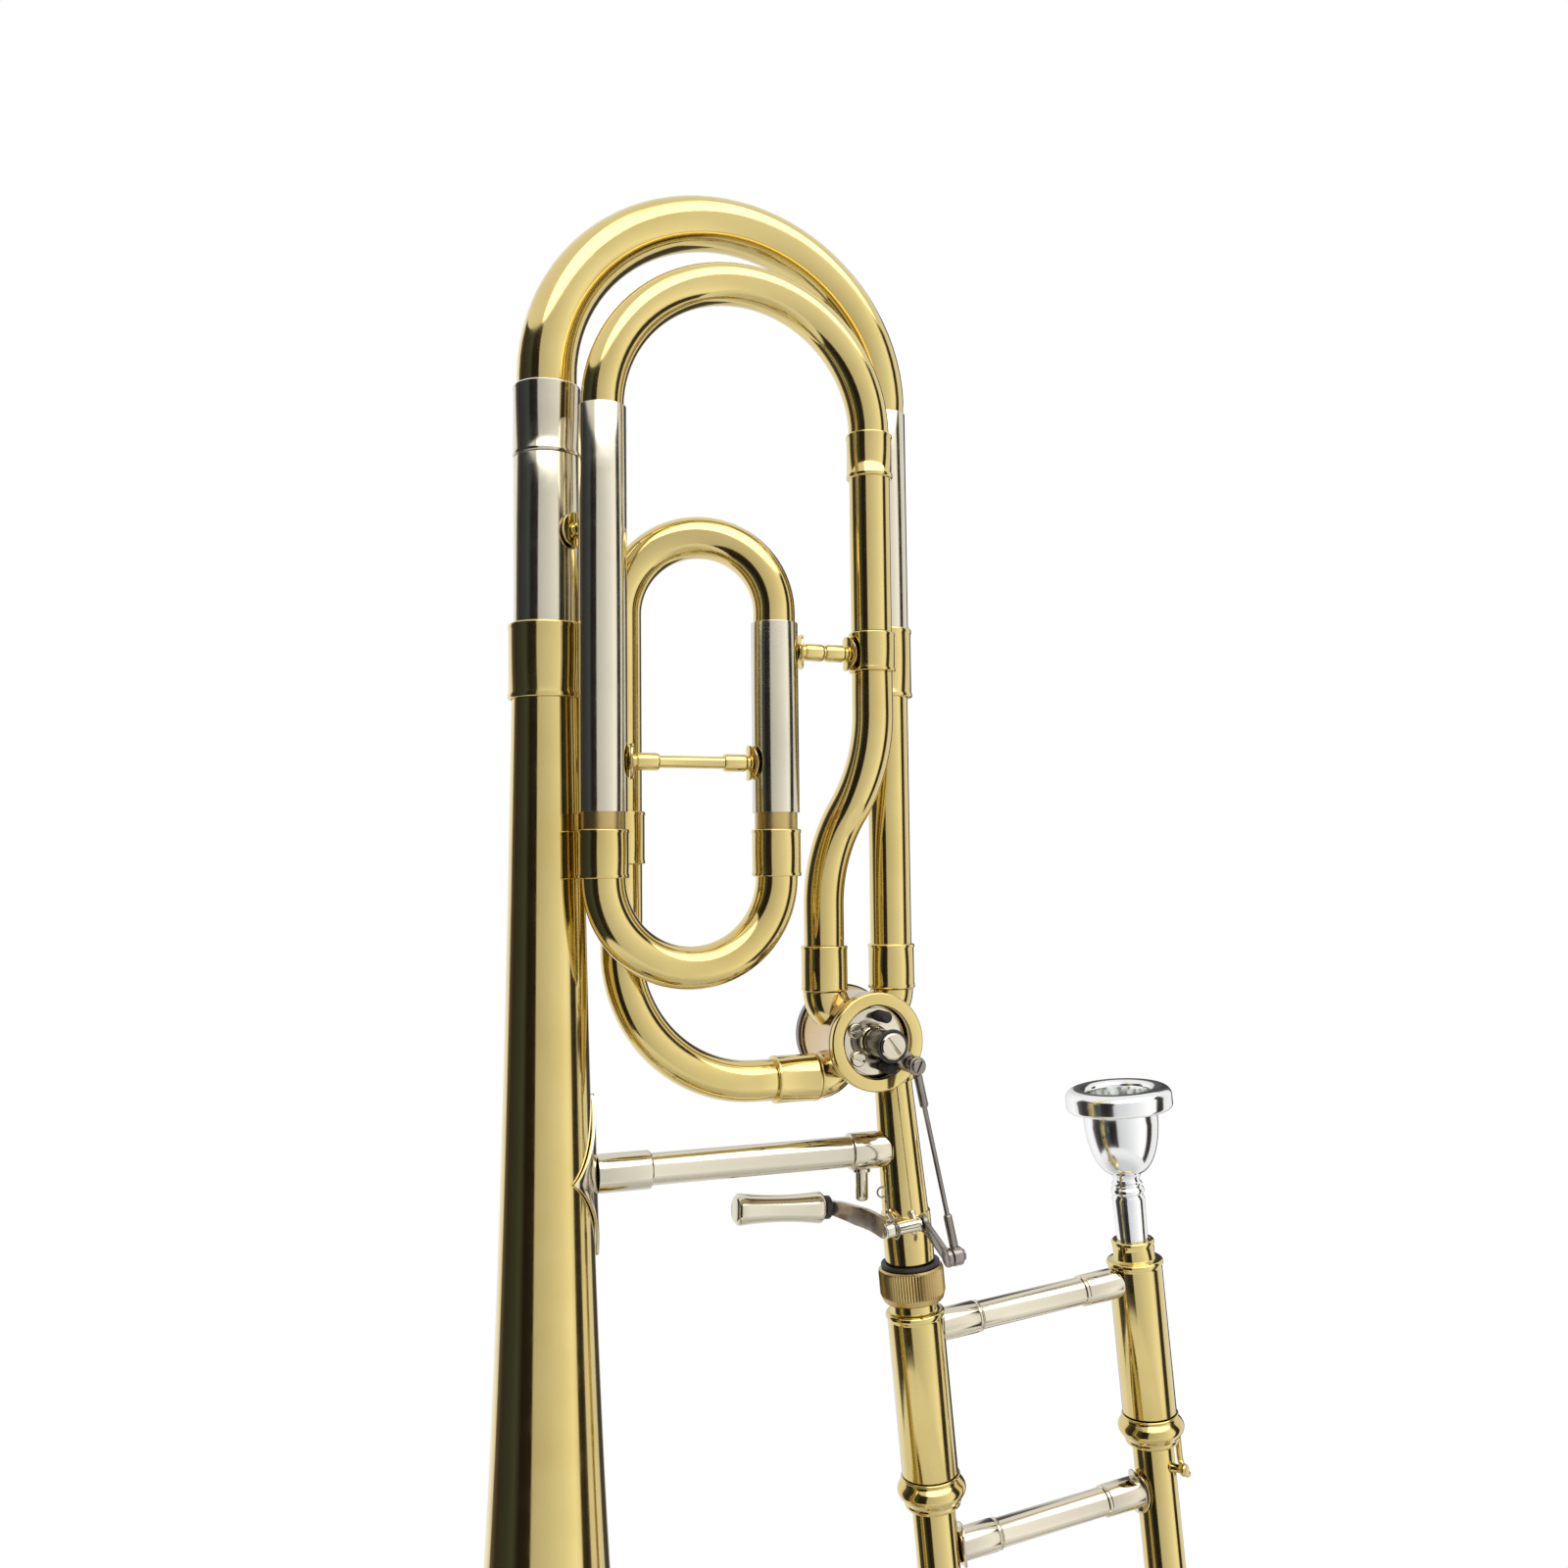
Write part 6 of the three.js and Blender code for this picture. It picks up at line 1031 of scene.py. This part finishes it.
def make_nut():
    ribs = 72
    outline = [
        (9.3, -84), (11, -84), (11.6, -83.4), (12.3, -81.4), (12.55, -80.6), (12.55, -72.4), (12.2, -71.6),
        (11.4, -71), (9.3, -71),
    ]
    nut = turned(neck(), outline, 2 * ribs, edge=0)
    to_neck = neck().inverted()
    mode("EDIT")
    pick("DESELECT", "VERT")
    mode("OBJECT")
    for vertex in nut.data.vertices:
        x, y, _ = to_neck @ vertex.co
        even = round(math.atan2(y, x) / (math.pi / ribs)) % 2 == 0
        vertex.select = even and math.hypot(x, y) > 12.4 * MM
    mode("EDIT")
    middle = neck(0, 0, -77).to_translation()
    bpy.ops.transform.resize(value=(0.965, 0.965, 1), center_override=middle)
    mode("OBJECT")
    piece("ribbed_nut", "lock_nut", nut, body="nut", angle=20, look="satin_brass")


def barrel_outline(upper, foot):
    """Closed outline of a barrel under its upper end, which is given from its bore outwards."""
    r = settings("slide").barrel_radius / MM
    return upper + [
        (9.6, -88), (10.9, -88), (11.35, -88.6), (11.35, -89.6), (10.95, -90.4), (r, -91.2), (r, -149.7),
        (9.7, -149.7), (9.7, -96), (7.75, -96), (7.75, -91.7), (foot, -91.7),
    ]


def bead_outline(bore):
    """Outline of the beaded ring at a barrel's lower end."""
    body = [(10.6 + 2.6 * math.sin(math.pi * i / 10), -151.4 - 8.4 * i / 10) for i in range(1, 10)]
    return [
        (bore, -150.2), (11.1, -150.2), (11.4, -150.6), (11.2, -151.2), (10.8, -151.5), *body,
        (10.7, -160), (10.9, -160.6), (10.6, -161.6), (10.2, -162), (bore, -162),
    ]


class TROMBONE_OT_slide(bpy.types.Operator):
    """Makes both parts of the hand slide, with the lock and the water key"""

    bl_idname = "trombone.slide"
    bl_label = "Hand slide"

    def execute(self, context):
        s = settings("slide")
        span, r = s.spacing / MM, s.inner_radius / MM
        left, right = neck(), neck(span)
        tenon = [(6.95, -64), (7.65, -64), (7.65, -80.3), (8.8, -80.3), (8.8, -87.4)]
        body = turned(left, barrel_outline(tenon, 6.95), 64)
        bead = turned(left, bead_outline(9.7), 64, edge=0.1)
        piece("left_barrel", "slide_barrel_left", body, bead, body="slide_section")
        collar = [(6.45, -80), (8.1, -80), (8.6, -80.5), (8.6, -81.6), (8.3, -82.2), (8.3, -87.4)]
        body = turned(right, barrel_outline(collar, 6.12), 64)
        piece("right_barrel", "slide_barrel_right", body, body="slide_section")
        inner = [(6.95, -92), (r, -92), (r, -691.6), (r + 0.1, -692), (r + 0.1, -792), (6.95, -792)]
        stud = [(0, 7.9), (2.1, 7.9), (1.7, 8.6), (1.5, 11.2), (2.4, 12.4), (2.4, 13.4), (1.9, 14.1), (0, 14.1)]
        for name, place in (("left", left), ("right", right)):
            tube = turned(place, inner, edge=0.05)
            piece(f"{name}_inner_tube", "inner_slide_tube_" + name, tube, body="slide_section", slot="silver_plate")
            shells = [turned(place, sleeve(s.outer_radius / MM, 7.75, -806, -105))]
            if name == "right":
                side = place @ turned_by(s.stud_turn) @ at(0, 0, -171)
                shells.append(turned(side @ TO_RIGHT, stud, 28))
            piece(f"{name}_outer_tube", "outer_slide_tube_" + name, *shells, body="hand_slide")
        make_slide_stays(span)
        make_crook(span)
        place = right @ turned_by(s.hook_turn)
        ring = [(r, z - 0.1) if z > -150.5 else (r, z) for r, z in bead_outline(9.3)]
        ring = turned(place, ring, 64, edge=0.1)
        wire = Ring(place @ at(12, 4.5, -156) @ DOWNWARDS, 1.3, 20, capped=True).draw(15)
        wire = wire.bend(4.5, HALF, place.to_3x3() @ -BACK, 10).draw(4).draw(0.5, 0.8).cap().done(edge=0)
        piece("lock_ring_with_hook", "slide_lock", ring, wire, body="lock_ring")
        return {"FINISHED"}


def make_slide_stays(span):
    """The inner slide's brace, coped to its barrels, and the outer slide's, on its oval saddles."""
    s = settings("slide")
    barrel, tube = s.barrel_radius / MM, s.outer_radius / MM
    for name, body, node, drop, radius, sink in (
        ("upper_slide_stay", "slide_section", "inner_slide_brace", 96, barrel, barrel - math.sqrt(barrel**2 - 36)),
        ("lower_slide_stay", "hand_slide", "outer_slide_brace", 180, tube, 0),
    ):
        first = radius + 0.3 - sink
        half = (
            (0, 0), (6, 0), (6, 15.6), (5.8, 16), (5.55, 16.2), (5.55, 16.8), (6, 17), (5.9, 17.4), (5.3, 17.8)
        )
        shells = [turned(neck(0, 0, -drop) @ TO_RIGHT, mirrored(half, first, span - first), 48, edge=0.1)]
        for x, angle in ((0, 0), (span, math.pi)):
            if sink:
                coped(shells[0], neck(x), radius + 0.3, -drop - 9, -drop + 9)
            else:
                shells.append(wrapped_disc(neck(x), radius + 0.8, angle, -drop, 7.4, 1.12))
        piece(name, node, *shells, body=body, slot="nickel_silver")


def make_crook(span):
    r, low, half = 8, -817, span / 2
    side = neck().to_3x3() @ ACROSS
    bend = Ring(neck(0, 0, -806.4) @ DOWNWARDS, r).draw(10.6)
    bend.bend(half, math.pi, side, settings("tube").bow_steps).draw(10.6)
    shells = [bend.done(settings("tube").wall / MM)]
    for x in (0, span):
        shells.append(turned(neck(x), sleeve(9, 8.5, low, -795, 0.2)))
    place = neck(half, 0, low) @ Matrix.Rotation(-HALF - math.radians(KEY_PLACE), 4, "Y") @ at(0, 0, half)
    lead = math.radians(KEY_LEAD)
    mouth = place @ at(-half * math.sin(lead), 0, -half * (1 - math.cos(lead))) @ TO_FRONT
    nipple = [(1.5, 7), (3.4, 7.4), (3, 8.2), (3, 10.1), (2.7, 10.4), (1.5, 10.4)]
    shells.append(turned(mouth, nipple, 28))
    for z in (-4.1, 4.1):
        post = Ring(place @ at(0, 0, z) @ TO_FRONT @ at(0, 0, 7.2), flat=(4, 1.5)).draw(7.6).cap()
        shells.append(post.done(edge=0.4))
    pin = ((0, 0), (1.3, 0), (1.3, 0.1), (0.9, 0.2))
    hinge = place @ at(0, KEY_Y)
    shells.append(turned(hinge, mirrored(pin, -5, 5), 20, edge=0.05))
    piece("crook", "slide_crook", *shells, body="hand_slide")

    reach = half * math.sin(lead)
    bar = Ring(place @ at(-reach, KEY_Y) @ TO_RIGHT, flat=(4.5, 1.4)).draw(reach + 19).cap().done(edge=0.4)
    pad = turned(place @ at(19) @ TO_FRONT, washer(0, 3.6, 13.1, 14.7), 32)
    seat = [(0, 10.7), (3.4, 10.7), (4, 11.1), (4, 13.4), (3.4, 14.4), (2, 14.7), (0, 14.7)]
    barrel = turned(hinge, washer(1.2, 2.3, -3, 3, 0.2, 0.3), 28)
    key = (bar, pad, turned(mouth, seat, 32), barrel)
    piece("water_key_lever", "water_key", *key, body="key", slot="nickel_silver")

    foot = low - half - r
    bumper = [
        (0, foot - 0.3), (2.75, foot - 0.3), (2.75, foot - 5.6), (5.2, foot - 5.8), (5.5, foot - 6.2),
        (5.5, foot - 9.8), (4.8, foot - 10.9), (3, foot - 11.3), (0, foot - 11.3),
    ]
    piece("bumper", "slide_bumper", turned(neck(half), bumper, 40), body="hand_slide", slot="black_rubber")


class TROMBONE_OT_mouthpiece(bpy.types.Operator):
    """Turns the mouthpiece: rim, cup, throat, bead and shank"""

    bl_idname = "trombone.mouthpiece"
    bl_label = "Mouthpiece"

    def execute(self, context):
        top, tip = -18, -103.7
        foot, under = top - 36, top - 9

        def arc(centre, radii, start, end, steps):
            angles = [start + (end - start) * i / steps for i in range(steps + 1)]
            return [(centre[0] + radii[0] * math.cos(a), centre[1] + radii[1] * math.sin(a)) for a in angles]

        outline = [
            (5, tip), (5.6, tip), (6.6, foot - 9.4), (6.2, foot - 8.6), (6, foot - 8.2),
            *bulge(5.6, 1.1, foot - 7.6, foot - 4.6, 8),
            *bulge(5.3, 0.9, foot - 4.2, foot - 2.6, 6),
            (5.2, foot - 2.2), (5.4, foot - 1),
            *arc((5.4, under - 3), (9.6, 23), -HALF, 0, 18)[1:],
            (15.4, under - 1.2), (15.6, under), (19.2, under),
            *arc((19.6, under + 1.7), (1.9, 1.7), -HALF, 0, 6)[1:],
            (21.5, top - 4.4),
            *arc((17.1, top - 3.6), (4.4, 3.6), 0, HALF, 12),
            *arc((16, top - 2.4), (3.1, 2.4), HALF, math.pi, 8)[1:],
            *arc((3.2, top - 3), (9.5, 20), 0, -HALF, 20)[1:],
            (3.2, top - 32), (4.6, tip + 20),
        ]
        cup = turned(neck(settings("slide").spacing / MM), outline, 96, edge=0.08)
        piece("silver_mouthpiece", "mouthpiece", cup, body="mouthpiece_set", slot="silver_plate", angle=28)
        return {"FINISHED"}


# Stage

FILM_WIDTH = 36
FLOOR_MIDDLE, FLOOR_RADIUS, FADE_FROM, FADE_TO = (0.15, 0), 1.5, 0.6, 1.45
STUDIO_MIDDLE = (0.1, 0, 0.3)
SCREEN_RADIUS, SCREEN_HEIGHT, TOP_RADIUS = 2.2, 3.6, 3
LAMPS_AIM = Vector((0.1, 0, 0.35))
LAMPS_AWAY = 1.7
# Name, heading and rise in degrees, side in metres, power in watts
LAMPS = (("key", 40, 30, 0.5, 8), ("top", -30, 60, 0.6, 10), ("rim", 178, 40, 0.5, 6))
# Heading round the screen in degrees, and the red, green and blue of the glow there
AROUND = (
    (-180, 1, 1, 1), (-150, 1.12, 1.12, 1.12), (-137, 0.9, 0.9, 0.9), (-135.5, 0.16, 0.14, 0.13),
    (-118, 0.045, 0.04, 0.04), (-92, 0.05, 0.062, 0.068), (-78, 0.07, 0.085, 0.09), (-66, 0.02, 0.018, 0.018),
    (-43, 0.03, 0.024, 0.02), (-42, 0.7, 0.7, 0.72), (-15, 0.82, 0.82, 0.83), (20, 1.05, 1.05, 1.05),
    (44, 1.3, 1.3, 1.28), (54, 1.1, 1.08, 1), (57, 0.06, 0.05, 0.05), (70, 0.035, 0.03, 0.03),
    (76, 0.12, 0.11, 0.1), (77.5, 0.95, 0.94, 0.92), (100, 1, 1, 1), (118, 0.9, 0.9, 0.9),
    (120, 0.1, 0.09, 0.08), (136, 0.05, 0.055, 0.06), (150, 0.14, 0.13, 0.12), (152, 0.75, 0.75, 0.75),
    (180, 1, 1, 1),
)
# Headings between which the top screen hangs, and its glow by the height above the level in degrees
TOP_ENDS = (-50, 66)
ABOVE = ((8, 1), (20, 1.15), (30, 1.7), (42, 3), (64, 3), (76, 1.9), (84, 1.05))


class TROMBONE_OT_stage(bpy.types.Operator):
    """Sets the camera, the floor, the soft screens, the lamps and the world"""

    bl_idname = "trombone.stage"
    bl_label = "Stage"

    def execute(self, context):
        s, scene = settings("stage"), context.scene
        scene.view_settings.view_transform = "Standard"
        bpy.ops.object.camera_add(location=s.camera)
        camera = context.object
        camera.name = "camera"
        camera.rotation_mode = "QUATERNION"
        level = way_to(s.yaw, s.pitch, 1).to_track_quat("-Z", "Y")
        camera.rotation_quaternion = level @ turned_by(s.roll).to_quaternion()
        camera.data.lens = s.lens
        camera.data.sensor_width = FILM_WIDTH
        scene.camera = camera
        make_world(scene)
        make_floor(s)
        make_screens()
        for name, azimuth, rise, side, power in LAMPS:
            way = way_to(math.radians(azimuth), math.radians(rise), -1)
            bpy.ops.object.light_add(type="AREA", location=LAMPS_AIM + way * LAMPS_AWAY)
            lamp = context.object
            lamp.name = name
            lamp.data.shape = "RECTANGLE"
            lamp.data.size = lamp.data.size_y = side
            lamp.data.energy = power
            lamp.rotation_mode = "QUATERNION"
            lamp.rotation_quaternion = (-way).to_track_quat("-Z", "Y")
            lamp.visible_glossy = False
        return {"FINISHED"}


def way_to(azimuth, rise, forth):
    """The way to an azimuth from the Y axis, or from its other end where forth is -1, and a rise."""
    return Vector((math.sin(azimuth) * math.cos(rise), forth * math.cos(azimuth) * math.cos(rise), math.sin(rise)))


def make_world(scene):
    """White at strength 1 for the camera, gloss and glass, and soft light for all else."""
    scene.world = bpy.data.worlds.new("studio")
    scene.world.use_nodes = True
    tree = scene.world.node_tree
    ambient = feed(tree, tree.nodes["Background"], {"Color": (0.95, 0.96, 1, 1), "Strength": 0.6})
    white = add_node(tree, "Background", {"Color": (1, 1, 1, 1), "Strength": 1})
    seen = add_node(tree, "LightPath").outputs
    either = add_node(tree, "Math", (seen["Is Camera Ray"], seen["Is Glossy Ray"]), operation="MAXIMUM")
    either = add_node(tree, "Math", (either.outputs[0], seen["Is Transmission Ray"]), operation="MAXIMUM")
    mix = add_node(tree, "MixShader", (either.outputs[0], ambient.outputs[0], white.outputs[0]))
    feed(tree, tree.nodes["World Output"], {"Surface": mix.outputs[0]})


def make_floor(s):
    """A round floor that fades out towards its edge."""
    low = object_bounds()[0].z - s.floor_drop
    only()
    bpy.ops.mesh.primitive_circle_add(
        vertices=96, radius=FLOOR_RADIUS, fill_type="NGON", location=(*FLOOR_MIDDLE, low)
    )
    floor = bpy.context.object
    floor.name = "floor"
    material, tree = new_material("floor_paint")
    paint = feed(tree, tree.nodes["Principled BSDF"], {"Base Color": (*s.floor, 1), "Roughness": 0.85})
    clear = add_node(tree, "BsdfTransparent")
    coordinates = add_node(tree, "TexCoord").outputs["Object"]
    length = add_node(tree, "VectorMath", (coordinates,), operation="LENGTH").outputs["Value"]
    fade = {"Value": length, "From Min": FADE_FROM, "From Max": FADE_TO}
    fade = add_node(tree, "MapRange", fade, interpolation_type="SMOOTHSTEP").outputs["Result"]
    mix = add_node(tree, "MixShader", (fade, paint.outputs[0], clear.outputs[0]))
    feed(tree, tree.nodes["Material Output"], {"Surface": mix.outputs[0]})
    floor.data.materials.append(material)
    floor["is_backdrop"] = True


def make_screens():
    """Soft screens round and above the object, seen only in its polish."""
    only()
    bpy.ops.mesh.primitive_cylinder_add(
        vertices=120, radius=SCREEN_RADIUS, depth=SCREEN_HEIGHT, end_fill_type="NOTHING", location=STUDIO_MIDDLE
    )
    hang_screen("round_screen", AROUND, flat=True)
    only()
    bpy.ops.mesh.primitive_uv_sphere_add(
        segments=120, ring_count=60, radius=TOP_RADIUS, location=STUDIO_MIDDLE
    )
    mode("EDIT")
    bpy.ops.mesh.select_mode(type="FACE")
    low, high = ABOVE[0][0], ABOVE[-1][0]
    select_faces(
        lambda centre: not low < math.degrees(math.asin(centre.z / centre.length)) < high
        or not TOP_ENDS[0] < math.degrees(math.atan2(centre.x, -centre.y)) < TOP_ENDS[1]
    )
    bpy.ops.mesh.delete(type="FACE")
    mode("OBJECT")
    hang_screen("top_screen", [(rise, glow, glow, glow) for rise, glow in ABOVE], flat=False)


def hang_screen(name, shades, flat):
    """Gives a screen a glow that changes with the heading round it, or with the height above the level."""
    screen = bpy.context.object
    screen.name = name
    material, tree = new_material(name + "_cloth")
    coordinates = add_node(tree, "TexCoord").outputs["Object"]
    x, y, z = add_node(tree, "SeparateXYZ", (coordinates,)).outputs

    def result(operation, *inputs):
        return add_node(tree, "Math", inputs, operation=operation).outputs[0]

    if flat:
        angle = result("ARCTAN2", x, result("MULTIPLY", y, -1))
    else:
        away = result("ADD", result("MULTIPLY", x, x), result("MULTIPLY", y, y))
        angle = result("ARCTAN2", z, result("SQRT", away, 0))
    first, last = shades[0][0], shades[-1][0]
    ends = {"Value": angle, "From Min": math.radians(first), "From Max": math.radians(last)}
    ranged = add_node(tree, "MapRange", ends).outputs["Result"]
    stops = [((place - first) / (last - first), colour) for place, *colour in shades]
    glow = add_node(tree, "Emission", {"Color": add_ramp(tree, ranged, stops)})
    feed(tree, tree.nodes["Material Output"], {"Surface": glow.outputs[0]})
    screen.data.materials.append(material)
    screen.visible_camera = screen.visible_diffuse = False
    screen.visible_shadow = screen.visible_transmission = False
    screen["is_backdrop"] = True


# Panel and registration

STEPS = (
    TROMBONE_OT_finishes,
    TROMBONE_OT_bell,
    TROMBONE_OT_main_slide,
    TROMBONE_OT_f_attachment,
    TROMBONE_OT_braces,
    TROMBONE_OT_valve,
    TROMBONE_OT_linkage,
    TROMBONE_OT_neck,
    TROMBONE_OT_slide,
    TROMBONE_OT_mouthpiece,
    TROMBONE_OT_stage,
)

GROUPS = {
    "finish": FinishSettings,
    "tube": TubeSettings,
    "bell": BellSettings,
    "bow": BowSettings,
    "valve": ValveSettings,
    "neck": NeckSettings,
    "slide": SlideSettings,
    "stage": StageSettings,
}


class TROMBONE_PT_panel(bpy.types.Panel):
    """Lists the steps and the sizes"""

    bl_idname = "TROMBONE_PT_panel"
    bl_label = "Trombone"
    bl_space_type = "VIEW_3D"
    bl_region_type = "UI"
    bl_category = "Trombone"

    def draw(self, context):
        for step in STEPS:
            self.layout.operator(step.bl_idname)
        for name, group in GROUPS.items():
            box = self.layout.box()
            box.label(text=name.capitalize())
            for key in group.__annotations__:
                box.prop(settings(name), key)


def register():
    for group in (*GROUPS.values(), *STEPS, TROMBONE_PT_panel):
        bpy.utils.register_class(group)
    for name, group in GROUPS.items():
        setattr(bpy.types.Scene, "trombone_" + name, bpy.props.PointerProperty(type=group))


def unregister():
    for name in GROUPS:
        delattr(bpy.types.Scene, "trombone_" + name)
    for group in (*GROUPS.values(), *STEPS, TROMBONE_PT_panel):
        bpy.utils.unregister_class(group)


def main():
    register()
    for step in STEPS:
        section, name = step.bl_idname.split(".")
        getattr(getattr(bpy.ops, section), name)()


if __name__ == "__main__":
    main()
